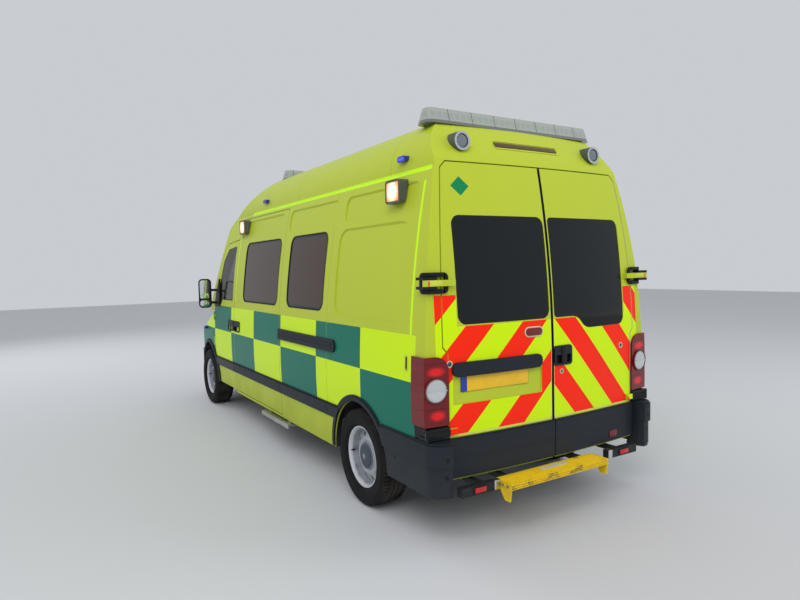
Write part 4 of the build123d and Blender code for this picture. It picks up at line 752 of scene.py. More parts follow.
class Finishes:
    """Every finish of the van, built once and shared."""

    split_angle = math.radians(32)

    def __init__(self, rear_x: float, front_x: float) -> None:
        """Builds the finishes.

        Args:
            rear_x: The rear axle line.
            front_x: The front axle line.
        """
        self.rear_x = rear_x
        self.front_x = front_x
        self._paints(Paint(Stations(), rear_x))
        self._plastics()
        self._metals()
        self._glasses()
        self._lenses()

    def _paints(self, paint: Paint) -> None:
        """The paintwork, the films and the small painted trims."""
        self.side = paint.side()
        self.rear = paint.rear()
        self.plain = paint.plain()
        self.step = StepPaint(self.rear_x).material()
        self.lime_trim = Moulded("lime_trim", srgb(206, 214, 60), 0.4, mottle=0.15, coat=0.3).material()
        self.pale_trim = Moulded("pale_trim", srgb(206, 208, 168), 0.4, mottle=0.15, coat=0.3).material()
        self.film_trim = Moulded("film_trim", srgb(214, 226, 60), 0.4, mottle=0.15, coat=0.3).material()
        half = (PLATE_SIZE[0] / 2, PLATE_SIZE[1] / 2)
        self.rear_plate = PlateFilm("rear_plate_film", srgb(238, 190, 20), REAR_PLATE, half, 1.0).material()
        self.front_plate = PlateFilm("front_plate_film", srgb(228, 228, 220), FRONT_PLATE, half,
                                     -1.0).material()

    def _plastics(self) -> None:
        """Plastics, rubber and cloth."""
        self.grey = Moulded("grey_plastic", srgb(25, 33, 43), 0.55, grain=900.0, dust=0.08).material()
        self.black = Moulded("black_plastic", srgb(17, 18, 20), 0.45).material()
        self.chassis = Moulded("chassis_black", srgb(30, 30, 30), 0.6, dust=0.5).material()
        self.dash = Moulded("dash_plastic", srgb(52, 53, 56), 0.6).material()
        self.rubber = Moulded("sealing_rubber", srgb(22, 22, 23), 0.6).material()
        self.cap = Moulded("cap_plastic", srgb(58, 69, 86), 0.42, mottle=0.18, dust=0.12).material()
        self.fabric = Moulded("seat_fabric", srgb(52, 56, 66), 0.9, grain=1500.0, depth=0.001).material()
        self.worn_pad = Moulded("worn_pad", srgb(212, 208, 188), 0.7, mottle=0.25, grain=220.0,
                                depth=0.001).material()
        self.tyres = {"rear": TyreRubber("rear_tyre_rubber", self.rear_x).material(),
                      "front": TyreRubber("front_tyre_rubber", self.front_x).material()}

    def _metals(self) -> None:
        """Bare and painted metals."""
        self.cast = Moulded("cast_iron", srgb(92, 88, 84), 0.7, 0.6).material()
        self.steel = Moulded("silver_paint", srgb(158, 164, 170), 0.35, 0.7, coat=0.3).material()
        self.brake = Moulded("brake_steel", srgb(148, 142, 136), 0.35, 0.9, mottle=0.35).material()
        self.chrome = Moulded("bright_metal", srgb(216, 220, 224), 0.14, 1.0, mottle=0.08).material()
        self.alloy = Moulded("aluminium", srgb(198, 200, 202), 0.35, 0.9).material()
        self.mirror = Moulded("mirror_glass", srgb(226, 232, 234), 0.04, 1.0, mottle=0.05,
                              depth=0.00005).material()
        self.rear_rim = WheelPaint("rear_wheel_paint", self.rear_x, 0.951).material()
        self.front_rim = WheelPaint("front_wheel_paint", self.front_x, 0.963).material()

    def _glasses(self) -> None:
        """Window glass."""
        rear = Frames(((0.020, 0.745, 1.325, 1.985),), 0.050, 0.012)
        spans = tuple((self.rear_x + start, self.rear_x + end, *WINDOW_Z)
                      for start, end in (WINDOW_ONE, WINDOW_TWO))
        self.dark_glass = Pane("dark_glass", srgb(14, 20, 22), 0.96, rear, True).material()
        self.side_glass = Pane("side_glass", srgb(58, 35, 20), 0.97, Frames(spans, 0.080, 0.028)).material()
        self.tint_glass = Pane("tint_glass", srgb(44, 40, 34), 0.62).material()
        screen = Frames(((-0.800, 0.800, 1.228, 1.990),), 0.100, 0.014)
        self.clear_glass = Pane("clear_glass", srgb(120, 136, 136), 0.28, screen, True).material()

    def _lenses(self) -> None:
        """Lamp lenses and reflectors."""
        self.tail = TailLens().material()
        across, up = ROUND_LAMP
        self.round_lenses = {side: RoundLens(f"{name}_round_lens", (side * across, up)).material()
                             for name, side in SIDES.items()}
        self.bar_lens = BarLens().material()
        self.head_lens = HeadLens().material()
        self.dark_red = Lens("dark_red_lens", srgb(96, 4, 12)).material()
        self.oval_lens = Lens("oval_lens", srgb(120, 12, 20), flutes=240.0).material()
        self.marker_red = Lens("marker_red", srgb(206, 20, 24), flutes=220.0).material()
        self.brown_lens = Lens("stop_lens", srgb(84, 58, 26), flutes=120.0).material()
        self.amber = Lens("amber_lens", srgb(226, 112, 8), flutes=300.0).material()
        self.amber_lens = Lens("indicator_lens", srgb(232, 150, 60)).material()
        self.clear_lens = Lens("clear_lens", srgb(205, 212, 214)).material()
        self.grey_lens = Lens("grey_lens", srgb(120, 126, 132), flutes=110.0).material()
        self.projector = Lens("projector_lens", srgb(176, 190, 200), flutes=20.0, roughness=0.06).material()
        self.flood_lens = FloodLens(tuple((self.rear_x + x, z) for x, z in FLOODS)).material()
        self.lamp_body = Moulded("lamp_body", srgb(96, 100, 102), 0.4, 0.3, mottle=0.2).material()
        self.blue_dark = Lens("blue_lens", srgb(30, 44, 150), glow=0.08).material()
        self.blue_glow = Lens("blue_glow", srgb(48, 72, 255), glow=1.6).material()

    def tyre(self, x: float) -> bpy.types.Material:
        """The rubber of the tyre whose axle lies at x."""
        return self.tyres["rear" if x < 0 else "front"]

    def _assign(self, nodes: dict, material: bpy.types.Material, *names: str) -> None:
        """Puts one material on several nodes."""
        for name in names:
            mesh = nodes[name].data
            mesh.materials.clear()
            mesh.materials.append(material)

    def dress(self, nodes: dict) -> None:
        """Dresses every carried-over node."""
        put = self._assign
        put(nodes, self.side, "left_side_panel", "right_side_panel", "sliding_door", "wings", "left_cab_door",
            "right_cab_door")
        put(nodes, self.rear, "left_rear_door", "right_rear_door")
        put(nodes, self.plain, "roof_cap", "cab_frame", "bonnet")
        put(nodes, self.grey, "front_bumper", "rear_bumpers", "side_mouldings", "left_door_cladding",
            "right_door_cladding")
        put(nodes, self.black, "grille", "front_liners", "left_door_trim", "right_door_trim", "fuel_tank",
            "rear_hinges", "scuttle")
        put(nodes, self.chassis, "floor_pan", "rear_axle", "front_suspension", "firewall")
        put(nodes, self.dash, "dashboard", "steering_wheel", "bulkhead")
        put(nodes, self.fabric, "cab_seats")
        put(nodes, self.cast, "engine", "left_knuckle", "right_knuckle")
        put(nodes, self.alloy, "side_step")
        put(nodes, self.steel, "exhaust")
        put(nodes, self.rear_rim, "rear_left_rim", "rear_right_rim")
        put(nodes, self.front_rim, "front_left_rim", "front_right_rim")
        put(nodes, self.step, "rear_step")
        put(nodes, self.tyres["rear"], "rear_left_tyre", "rear_right_tyre")
        put(nodes, self.tyres["front"], "front_left_tyre", "front_right_tyre")
        put(nodes, self.dark_glass, "left_rear_glass", "right_rear_glass")
        put(nodes, self.side_glass, "side_glass")
        put(nodes, self.tint_glass, "left_cab_glass", "right_cab_glass")
        put(nodes, self.clear_glass, "windscreen")
        put(nodes, self.tail, "tail_lamps")
        put(nodes, self.head_lens, "headlamps")
        put(nodes, self.lamp_body, "work_lamps")
        put(nodes, self.bar_lens, "lightbars")
        put(nodes, self.blue_dark, "blue_markers")
        for node in nodes.values():
            self._smooth(node)

    def _smooth(self, node: bpy.types.Object) -> None:
        """Joins a node's loose triangles for shading and splits them at its sharp edges."""
        weld = node.modifiers.new("weld", "WELD")
        weld.merge_threshold = 0.00002
        for face in node.data.polygons:
            face.use_smooth = True
        split = node.modifiers.new("creases", "EDGE_SPLIT")
        split.split_angle = self.split_angle
        split.use_edge_sharp = False


@dataclass
class PhotoCamera:
    """The camera as solved from the photograph, placed from the rear axle."""

    rear_x: float
    position: tuple[float, float, float] = (-3.7496, 2.9115, 1.6763)
    yaw: float = -0.5510
    pitch: float = -0.0537
    roll: float = -0.0224
    focal_pixels: float = 604.29
    image_width: int = 800
    sensor: float = 36.0

    def build(self) -> bpy.types.Object:
        """Makes the camera and sets it as the scene's."""
        data = bpy.data.cameras.new("photo_camera")
        data.sensor_width = self.sensor
        data.lens = self.focal_pixels * self.sensor / self.image_width
        data.clip_end = 200.0
        camera = bpy.data.objects.new("photo_camera", data)
        bpy.context.scene.collection.objects.link(camera)
        ahead = Vector((math.cos(self.yaw) * math.cos(self.pitch), math.sin(self.yaw) * math.cos(self.pitch),
                        math.sin(self.pitch)))
        right = Vector((math.sin(self.yaw), -math.cos(self.yaw), 0.0))
        over = right.cross(ahead)
        turned_right = right * math.cos(self.roll) + over * math.sin(self.roll)
        turned_over = over * math.cos(self.roll) - right * math.sin(self.roll)
        basis = Matrix((turned_right, turned_over, -ahead)).transposed().to_4x4()
        place = Vector(self.position) + Vector((self.rear_x, 0.0, 0.0))
        camera.matrix_world = Matrix.Translation(place) @ basis
        bpy.context.scene.camera = camera
        return camera


@dataclass
class Studio:
    """A pale floor, a pale world and soft lamps."""

    floor_size: float = 60.0
    floor_colour: Colour = field(default_factory=lambda: srgb(205, 206, 208))
    sky_colour: Colour = field(default_factory=lambda: srgb(228, 232, 238))
    sky_light: float = 0.75
    lamp_size: float = 7.0
    lamps: tuple[tuple[str, tuple[float, float, float], float], ...] = (
        ("key", (-9.0, 7.0, 9.0), 620.0), ("fill", (-8.0, -8.0, 6.0), 300.0),
        ("front", (9.0, 4.0, 7.0), 320.0))

    def build(self) -> None:
        """Makes the floor, the world and the lamps."""
        mesh = bpy.data.meshes.new("floor")
        shape = bmesh.new()
        bmesh.ops.create_grid(shape, x_segments=1, y_segments=1, size=self.floor_size / 2)
        shape.to_mesh(mesh)
        shape.free()
        floor = bpy.data.objects.new("floor", mesh)
        floor.location.z = -0.0005
        bpy.context.scene.collection.objects.link(floor)
        graph = Graph("floor")
        graph.set(Base_Color=self.floor_colour, Roughness=0.9)
        mesh.materials.append(graph.material)
        world = bpy.data.worlds.new("sky")
        world.use_nodes = True
        back = world.node_tree.nodes["Background"]
        back.inputs["Color"].default_value = self.sky_colour
        back.inputs["Strength"].default_value = self.sky_light
        bpy.context.scene.world = world
        for name, place, power in self.lamps:
            self._lamp(name, place, power)

    def _lamp(self, name: str, place: tuple[float, float, float], power: float) -> None:
        """Adds a square soft lamp that looks at the middle of the vehicle.

        Args:
            name: The lamp's name.
            place: Where it stands.
            power: Its power in watts.
        """
        data = bpy.data.lights.new(name, "AREA")
        data.size = self.lamp_size
        data.energy = power
        lamp = bpy.data.objects.new(name, data)
        lamp.location = place
        lamp.visible_glossy = False
        lamp.rotation_euler = (Vector((0, 0, 1.2)) - Vector(place)).to_track_quat("-Z", "Y").to_euler()
        bpy.context.scene.collection.objects.link(lamp)


class Face(Enum):
    """The faces of the van that a fitting can lie on."""

    REAR = "rear"
    FRONT = "front"
    LEFT = "left"
    RIGHT = "right"
    TOP = "top"


FLANKS = ((Face.LEFT, "left"), (Face.RIGHT, "right"))


class Skin:
    """The outer surface of some nodes, found by rays from outside."""

    reach = 6.0
    axes = {Face.REAR: (0, -1), Face.FRONT: (0, 1), Face.LEFT: (1, 1), Face.RIGHT: (1, -1), Face.TOP: (2, 1)}

    def __init__(self, nodes: list[bpy.types.Object]) -> None:
        """Joins the nodes' triangles in one search tree."""
        points: list[Vector] = []
        faces: list[list[int]] = []
        for node in nodes:
            start = len(points)
            points += [vertex.co.copy() for vertex in node.data.vertices]
            faces += [[start + corner for corner in polygon.vertices] for polygon in node.data.polygons]
        self.tree = BVHTree.FromPolygons(points, faces)

    def onto(self, face: Face, across: float, along: float, height: float) -> Vector:
        """The place at a height above the surface.

        Args:
            face: The side of the van looked at.
            across: The first coordinate in that face: y on the rear and front, else x.
            along: The second one: z, or y on the top.
            height: The distance outside the surface.

        Returns:
            The place in the frame.
        """
        axis, sign = self.axes[face]
        flat = {0: (0.0, across, along), 1: (across, 0.0, along), 2: (across, along, 0.0)}[axis]
        start = Vector(flat)
        start[axis] = sign * self.reach
        ray = Vector((0.0, 0.0, 0.0))
        ray[axis] = -sign
        found = self.tree.ray_cast(start, ray)[0]
        if found is None:
            start[axis] = sign * 0.95 if axis == 1 else start[axis] / 2
            found = self.tree.find_nearest(start)[0]
        place = Vector(flat)
        place[axis] = found[axis] + sign * height
        return place


class Form:
    """A mesh in the making, shaped by operators and then set in the frame."""

    def __init__(self) -> None:
        """Starts empty."""
        self.mesh = bmesh.new()

    def block(self, low: tuple, high: tuple, rounding: float = 0.0, segments: int = 2) -> Form:
        """Adds a box between two corners.

        Args:
            low: The lowest corner.
            high: The highest corner.
            rounding: The radius of its edges.
            segments: The steps of that rounding.

        Returns:
            The form itself.
        """
        verts = bmesh.ops.create_cube(self.mesh, size=1.0)["verts"]
        bmesh.ops.scale(self.mesh, vec=Vector(high) - Vector(low), verts=verts)
        bmesh.ops.translate(self.mesh, vec=(Vector(high) + Vector(low)) / 2, verts=verts)
        if rounding:
            edges = list({edge for vertex in verts for edge in vertex.link_edges})
            bmesh.ops.bevel(self.mesh, geom=edges, offset=rounding, segments=segments, profile=0.5,
                            affect="EDGES", material=-1, clamp_overlap=True)
        return self

    def slab(self, width: float, height: float, radius: float, depth: float, base: float = 0.0,
             place: tuple = (0.0, 0.0), border: float = 0.0, soften: float = 0.0) -> Form:
        """Adds a rounded rectangle with a thickness, or only its border.

        Args:
            width: The size along the first axis.
            height: The size along the second one.
            radius: The radius of its corners.
            depth: Its thickness.
            base: The height where it starts.
            place: Its middle.
            border: The width of the border that is kept, or 0 for all of it.
            soften: The bevel round its outer upper edge.

        Returns:
            The form itself.
        """
        made = bmesh.ops.create_grid(self.mesh, x_segments=1, y_segments=1, size=0.5)
        verts = made["verts"]
        bmesh.ops.scale(self.mesh, vec=(width, height, 1.0), verts=verts)
        bmesh.ops.translate(self.mesh, vec=(*place, base), verts=verts)
        face = verts[0].link_faces[0]
        if radius:
            made = bmesh.ops.bevel(self.mesh, geom=verts, offset=radius, segments=6, profile=0.5,
                                   affect="VERTICES", material=-1)
            face = max({f for v in made["verts"] for f in v.link_faces}, key=lambda f: f.calc_area())
        faces = [face]
        if border:
            faces = bmesh.ops.inset_region(self.mesh, faces=[face], thickness=border, use_boundary=True,
                                           use_even_offset=True)["faces"]
            bmesh.ops.delete(self.mesh, geom=[face], context="FACES")
        grown = bmesh.ops.extrude_face_region(self.mesh, geom=faces)["geom"]
        top = [item for item in grown if isinstance(item, bmesh.types.BMFace)]
        raised = [item for item in grown if isinstance(item, bmesh.types.BMVert)]
        bmesh.ops.translate(self.mesh, vec=(0.0, 0.0, depth), verts=raised)
        if soften:
            around = {edge for upper in top for edge in upper.edges}
            rim = [edge for edge in around if len([side for side in edge.link_faces if side in top]) == 1]
            bmesh.ops.bevel(self.mesh, geom=rim, offset=soften, segments=2, profile=0.5, affect="EDGES",
                            material=-1, clamp_overlap=True)
        return self

    def turned(self, outline: list[tuple[float, float]], steps: int = 40, closed: bool = False,
               place: tuple = (0.0, 0.0), turn: float = math.tau) -> Form:
        """Adds an outline spun about an upright axis.

        Args:
            outline: The radius and height of its points.
            steps: The steps of a full turn.
            closed: Whether the outline goes back to its first point.
            place: Where the axis stands.
            turn: The angle of the spin.

        Returns:
            The form itself.
        """
        verts = [self.mesh.verts.new((radius, 0.0, height)) for radius, height in outline]
        pairs = list(zip(verts, verts[1:])) + ([(verts[-1], verts[0])] if closed else [])
        edges = [self.mesh.edges.new(pair) for pair in pairs]
        before = set(self.mesh.verts) - set(verts)
        bmesh.ops.spin(self.mesh, geom=verts + edges, cent=(0, 0, 0), axis=(0, 0, 1), angle=turn, steps=steps,
                       use_merge=turn == math.tau, use_duplicate=False)
        new = [vertex for vertex in self.mesh.verts if vertex not in before]
        bmesh.ops.translate(self.mesh, vec=(*place, 0.0), verts=new)
        bmesh.ops.remove_doubles(self.mesh, verts=new, dist=1e-6)
        return self

    def dome(self, radius: float, height: float, base: float = 0.0, place: tuple = (0.0, 0.0),
             steps: int = 32) -> Form:
        """Adds a shallow dome closed underneath."""
        rings = 6
        arc = [(radius * math.cos(math.pi / 2 * i / rings), base + height * math.sin(math.pi / 2 * i / rings))
               for i in range(rings, -1, -1)]
        arc[0] = (0.0, base + height)
        return self.turned(arc + [(radius, base - 0.002), (0.0, base - 0.002)], steps, place=place)

    def ring(self, outer: float, inner: float, height: float, base: float = 0.0, place: tuple = (0.0, 0.0),
             steps: int = 40) -> Form:
        """Adds a ring with a rounded top."""
        edge = min(height, (outer - inner) / 2) * 0.4
        outline = [(outer, base), (outer, base + height - edge), (outer - edge, base + height),
                   (inner + edge, base + height), (inner, base + height - edge), (inner, base)]
        return self.turned(outline, steps, closed=True, place=place)

    def divide(self, cuts: int) -> Form:
        """Splits every edge, so that the form can follow a curve."""
        bmesh.ops.subdivide_edges(self.mesh, edges=self.mesh.edges[:], cuts=cuts, use_grid_fill=True)
        return self

    def laid(self, skin: Skin, face: Face, middle: tuple[float, float], turn: float = 0.0) -> Form:
        """Lays the form on the van's surface, its height measured outwards.

        Args:
            skin: The surface it lies on.
            face: The side it is laid from.
            middle: Where its own middle comes.
            turn: Its turn in that face.

        Returns:
            The form itself.
        """
        for vertex in self.mesh.verts:
            across, along, height = vertex.co
            x = across * math.cos(turn) - along * math.sin(turn)
            y = across * math.sin(turn) + along * math.cos(turn)
            vertex.co = skin.onto(face, middle[0] + x, middle[1] + y, height)
        return self

    def flat(self, skin: Skin, face: Face, middle: tuple[float, float], span: float = 0.0) -> Form:
        """Sets the form flat on the surface at its middle, and along the slope found across it.

        Args:
            skin: The surface it lies on.
            face: The side it is laid from.
            middle: Where its own middle comes.
            span: Half the distance over which the slope is measured, or 0 for none.

        Returns:
            The form itself.
        """
        place = skin.onto(face, middle[0], middle[1], 0.0)
        axis, sign = skin.axes[face]
        slope = 0.0
        if span:
            ends = [skin.onto(face, middle[0] + step, middle[1], 0.0)[axis] for step in (-span, span)]
            slope = (ends[1] - ends[0]) / (2 * span)
            place[axis] = sum(ends) / 2
        for vertex in self.mesh.verts:
            across, along, height = vertex.co
            flat = {0: (0.0, across, along), 1: (across, 0.0, along), 2: (across, along, 0.0)}[axis]
            vertex.co = place + Vector(flat)
            vertex.co[axis] += sign * height + slope * across
        return self

    def wrapped(self, skin: Skin, middle: tuple[float, float], row: float, corner: float) -> Form:
        """Lays the form on the rear and round its corner, as the surface runs at another height.

        Args:
            skin: The surface it lies on.
            middle: Where its own middle comes.
            row: The height at which the surface is bare.
            corner: The distance from the middle line at which it turns onto the flank.

        Returns:
            The form itself.
        """
        side = 1 if middle[0] > 0 else -1
        turning = skin.onto(Face.REAR, side * corner, row, 0.0)
        for vertex in self.mesh.verts:
            across, along, height = vertex.co
            past = side * (middle[0] + across) - corner
            if past <= 0:
                place = skin.onto(Face.REAR, middle[0] + across, row, height)
            else:
                flank = Face.LEFT if side > 0 else Face.RIGHT
                place = skin.onto(flank, turning.x + past, row, height)
                place.x -= height * max(0.0, 1.0 - past / 0.02)
            place.z = middle[1] + along
            vertex.co = place
        return self

    def moved(self, matrix: Matrix) -> Form:
        """Moves the whole form."""
        bmesh.ops.transform(self.mesh, matrix=matrix, verts=self.mesh.verts[:])
        return self

    def kept(self, point: tuple, normal: tuple) -> Form:
        """Keeps only what lies behind a plane, and closes the cut."""
        geometry = self.mesh.verts[:] + self.mesh.edges[:] + self.mesh.faces[:]
        made = bmesh.ops.bisect_plane(self.mesh, geom=geometry, plane_co=point, plane_no=normal,
                                      clear_outer=True)
        cut = [item for item in made["geom_cut"] if isinstance(item, bmesh.types.BMEdge)]
        if cut:
            bmesh.ops.holes_fill(self.mesh, edges=cut, sides=0)
        return self


@dataclass
class Van:
    """The frame's nodes, its two axle lines and the finishes that the sub-assemblies share."""

    nodes: dict[str, bpy.types.Object]
    finishes: Finishes
    rear_x: float
    front_x: float

    def skin(self, *names: str) -> Skin:
        """The outer surface of some nodes."""
        return Skin([self.nodes[name] for name in names])

    def piece(self, form: Form, name: str, body: str, slot: str, material: bpy.types.Material,
              crease: float = 35.0) -> bpy.types.Object:
        """Turns a form into a piece of the van and reports it.

        Args:
            form: The finished form.
            name: The piece's name.
            body: The body that it moves with.
            slot: The name of a material slot; not used.
            material: Its finish.
            crease: The angle in degrees over which an edge stays sharp.

        Returns:
            The new object.
        """
        bmesh.ops.remove_doubles(form.mesh, verts=form.mesh.verts[:], dist=1e-6)
        bmesh.ops.recalc_face_normals(form.mesh, faces=form.mesh.faces[:])
        mesh = bpy.data.meshes.new(name)
        form.mesh.to_mesh(mesh)
        form.mesh.free()
        mesh.shade_smooth()
        mesh.set_sharp_from_angle(angle=math.radians(crease))
        mesh.materials.append(material)
        made = bpy.data.objects.new(name, mesh)
        bpy.context.scene.collection.objects.link(made)
        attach(made, body)
        LOG.info("%s: %d faces, rides on %s", name, len(mesh.polygons), body)
        return made


@dataclass
class RoadWheels:
    """The four wheels: tyres with a cut tread, hub caps, valves, brake discs and calipers."""

    van: Van
    tyre_radius: float = WHEEL_RADIUS
    tyre_half: float = 0.1125
    steps: int = 216
    groove_depth: float = 0.007
    block_depth: float = 0.006
    cap_radius: float = 0.0945
    cap_rise: float = 0.0738
    disc_radius: float = 0.118
    disc_y: tuple[float, float] = (-0.034, -0.014)

    def build(self) -> None:
        """Makes every wheel's pieces."""
        finishes = self.van.finishes
        for wheel in WHEELS:
            low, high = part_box(f"{wheel}_rim")
            middle = (low + high) / 2
            side = 1 if middle.y > 0 else -1
            place = Matrix.Translation(middle) @ Matrix.Rotation(-side * math.pi / 2, 4, "X")
            body = f"{wheel}_wheel"
            tyre = self.van.piece(self._tyre().moved(place), f"{wheel}_tread", body, "tyre",
                                  finishes.tyre(middle.x), 50.0)
            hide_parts(f"{wheel}_tyre")
            carrier = {"front_left": "left_knuckle", "front_right": "right_knuckle"}.get(wheel, "body")
            for form, part, rides_on, slot, material in (
                    (self._cap(), "cap", body, "grey_plastic", finishes.cap),
                    (self._centre(), "cap_centre", body, "wheel_paint", finishes.steel),
                    (self._valve(), "valve", body, "black_plastic", finishes.black),
                    (self._disc(), "brake_disc", body, "steel", finishes.brake),
                    (self._caliper(), "caliper", carrier, "cast_iron", finishes.cast)):
                self.van.piece(form.moved(place), f"{wheel}_{part}", rides_on, slot, material)

    def _tyre(self) -> Form:
        """The tyre as one spun section, with the shoulder blocks cut into it."""
        radius, half = self.tyre_radius, self.tyre_half
        sunk = radius - self.groove_depth
        flank = [(0.2168, 0.0795), (0.2195, 0.0865), (0.2235, 0.0935), (0.2275, 0.0985), (0.2365, 0.1055),
                 (0.2380, 0.1075), (0.2440, 0.1075), (0.2560, 0.1108), (0.2780, half), (0.2990, 0.1110),
                 (0.3010, 0.1118), (0.3050, 0.1115), (0.3070, 0.1090), (0.3180, 0.1052), (0.3290, 0.0990)]
        tread = [(0.3385, 0.0905), (0.3415, 0.0620), (sunk, 0.0605), (sunk, 0.0525), (0.3422, 0.0510),
                 (radius - 0.0003, 0.0240), (sunk, 0.0225), (sunk, 0.0145), (radius, 0.0130)]
        outer = flank + tread
        inner = [(r, -h) for r, h in reversed(outer)]
        form = Form().turned(outer + inner, self.steps, closed=True)
        blocks = []
        for face in form.mesh.faces:
            middle = face.calc_center_median()
            step = round(math.atan2(middle.y, middle.x) / math.tau * self.steps - 0.5)
            if 0.061 < abs(middle.z) < 0.0985 and middle.xy.length > 0.33 and step % 3 == 0:
                blocks.append(face)
        bmesh.ops.inset_region(form.mesh, faces=blocks, thickness=0.0004, depth=-self.block_depth,
                               use_even_offset=True)
        return form

    def _cap(self) -> Form:
        """The domed hub cap with a stepped rim."""
        rise, radius = self.cap_rise, self.cap_radius
        outline = [(0.0, rise), (0.024, rise - 0.0004), (0.045, rise - 0.0022), (0.064, rise - 0.0052),
                   (0.078, rise - 0.0088), (0.0845, rise - 0.0118), (0.0865, rise - 0.0152),
                   (0.0905, rise - 0.0152), (0.0930, rise - 0.0165), (radius, rise - 0.0195),
                   (radius, rise - 0.0290), (0.0, rise - 0.0290)]
        return Form().turned(outline, 64)

    def _centre(self) -> Form:
        """The bare raised centre of the cap."""
        rise = self.cap_rise
        outline = [(0.0, rise + 0.0016), (0.017, rise + 0.0014), (0.0200, rise + 0.0004),
                   (0.0200, rise - 0.003), (0.0, rise - 0.003)]
        return Form().turned(outline, 40)

    def _valve(self) -> Form:
        """The tyre valve, near the rim's edge."""
        outline = [(0.0, 0.082), (0.0032, 0.081), (0.0036, 0.070), (0.0052, 0.068), (0.0060, 0.050),
                   (0.0, 0.050)]
        return Form().turned(outline, 14, place=(0.186, 0.0))

    def _disc(self) -> Form:
        """The brake disc with its hat."""
        low, high = self.disc_y
        outline = [(0.044, low - 0.004), (0.070, low - 0.004), (0.070, low), (self.disc_radius, low),
                   (self.disc_radius, high), (0.076, high), (0.070, 0.006), (0.044, 0.006)]
        return Form().turned(outline, 64, closed=True)

    def _caliper(self) -> Form:
        """The caliper as two halves joined over the disc's edge."""
        low, high = self.disc_y
        form = Form().block((-0.132, -0.052, low - 0.026), (-0.080, 0.052, low - 0.004), 0.008)
        form.block((-0.132, -0.048, high + 0.003), (-0.086, 0.048, high + 0.010), 0.003)
        form.block((-0.136, -0.042, low - 0.022), (-0.123, 0.042, high + 0.008), 0.004)
        return form


@dataclass
class NumberPlates:
    """The blank plates at the rear and the front."""

    van: Van
    size: tuple[float, float] = PLATE_SIZE
    rear_middle: tuple[float, float] = REAR_PLATE
    front_middle: tuple[float, float] = FRONT_PLATE
    thickness: float = 0.004
    slope_span: float = 0.23
    screw_offset: float = 0.17
    holder_margin: float = 0.014

    def build(self) -> None:
        """Makes both plates with their screws, and the front one's holder."""
        finishes = self.van.finishes
        bumper = self.van.skin("front_bumper")
        door = self.van.skin("left_rear_door")
        self._plate("rear_plate", Face.REAR, door, self.rear_middle, "left_rear_door", finishes.rear_plate)
        self._plate("front_plate", Face.FRONT, bumper, self.front_middle, "body", finishes.front_plate)
        width, height = (length + self.holder_margin for length in self.size)
        form = Form().slab(width, height, 0.010, 0.042, -0.041, soften=0.003)
        form.flat(bumper, Face.FRONT, self.front_middle)
        self.van.piece(form, "front_plate_holder", "body", "black_plastic", finishes.black)

    def _plate(self, name: str, face: Face, skin: Skin, middle: tuple[float, float], body: str,
               material: bpy.types.Material) -> None:
        """Makes one plate and its two screws.

        Args:
            name: The plate's name.
            face: The side of the van it is on.
            skin: The surface under it.
            middle: Where its middle is.
            body: The body that it moves with.
            material: Its film.
        """
        form = Form().slab(*self.size, 0.008, self.thickness, 0.0015, soften=0.0012)
        span = self.slope_span if face is Face.REAR else 0.0
        form.flat(skin, face, middle, span)
        self.van.piece(form, name, body, "step_paint", material)
        screws = Form()
        for across in (-self.screw_offset, self.screw_offset):
            screws.dome(0.007, 0.003, 0.0055, place=(across, 0.0), steps=14)
        screws.flat(skin, face, middle, span)
        self.van.piece(screws, f"{name}_screws", body, "step_paint", material)


@dataclass
class TailLamps:
    """The clear round lenses of the tail lamps, with their bezels and middle bars."""

    van: Van
    middle: tuple[float, float] = ROUND_LAMP
    radius: float = 0.072

    def build(self) -> None:
        """Makes both sides' pieces."""
        finishes = self.van.finishes
        skin = self.van.skin("tail_lamps")
        for name, side in SIDES.items():
            place = (side * self.middle[0], self.middle[1])
            lens = Form().dome(self.radius, 0.010, 0.0005, steps=48)
            bezel = Form().ring(self.radius + 0.005, self.radius - 0.001, 0.005)
            bar = Form().slab(2 * self.radius - 0.006, 0.0045, 0.002, 0.0035, 0.0085).divide(3)
            for form, part, slot, material in (
                    (lens, "reversing_lens", "clear_lens", finishes.round_lenses[side]),
                    (bezel, "lens_bezel", "red_lens", finishes.dark_red),
                    (bar, "lens_bar", "clear_lens", finishes.clear_lens)):
                self.van.piece(form.laid(skin, Face.REAR, place), f"{name}_{part}", "body", slot, material)


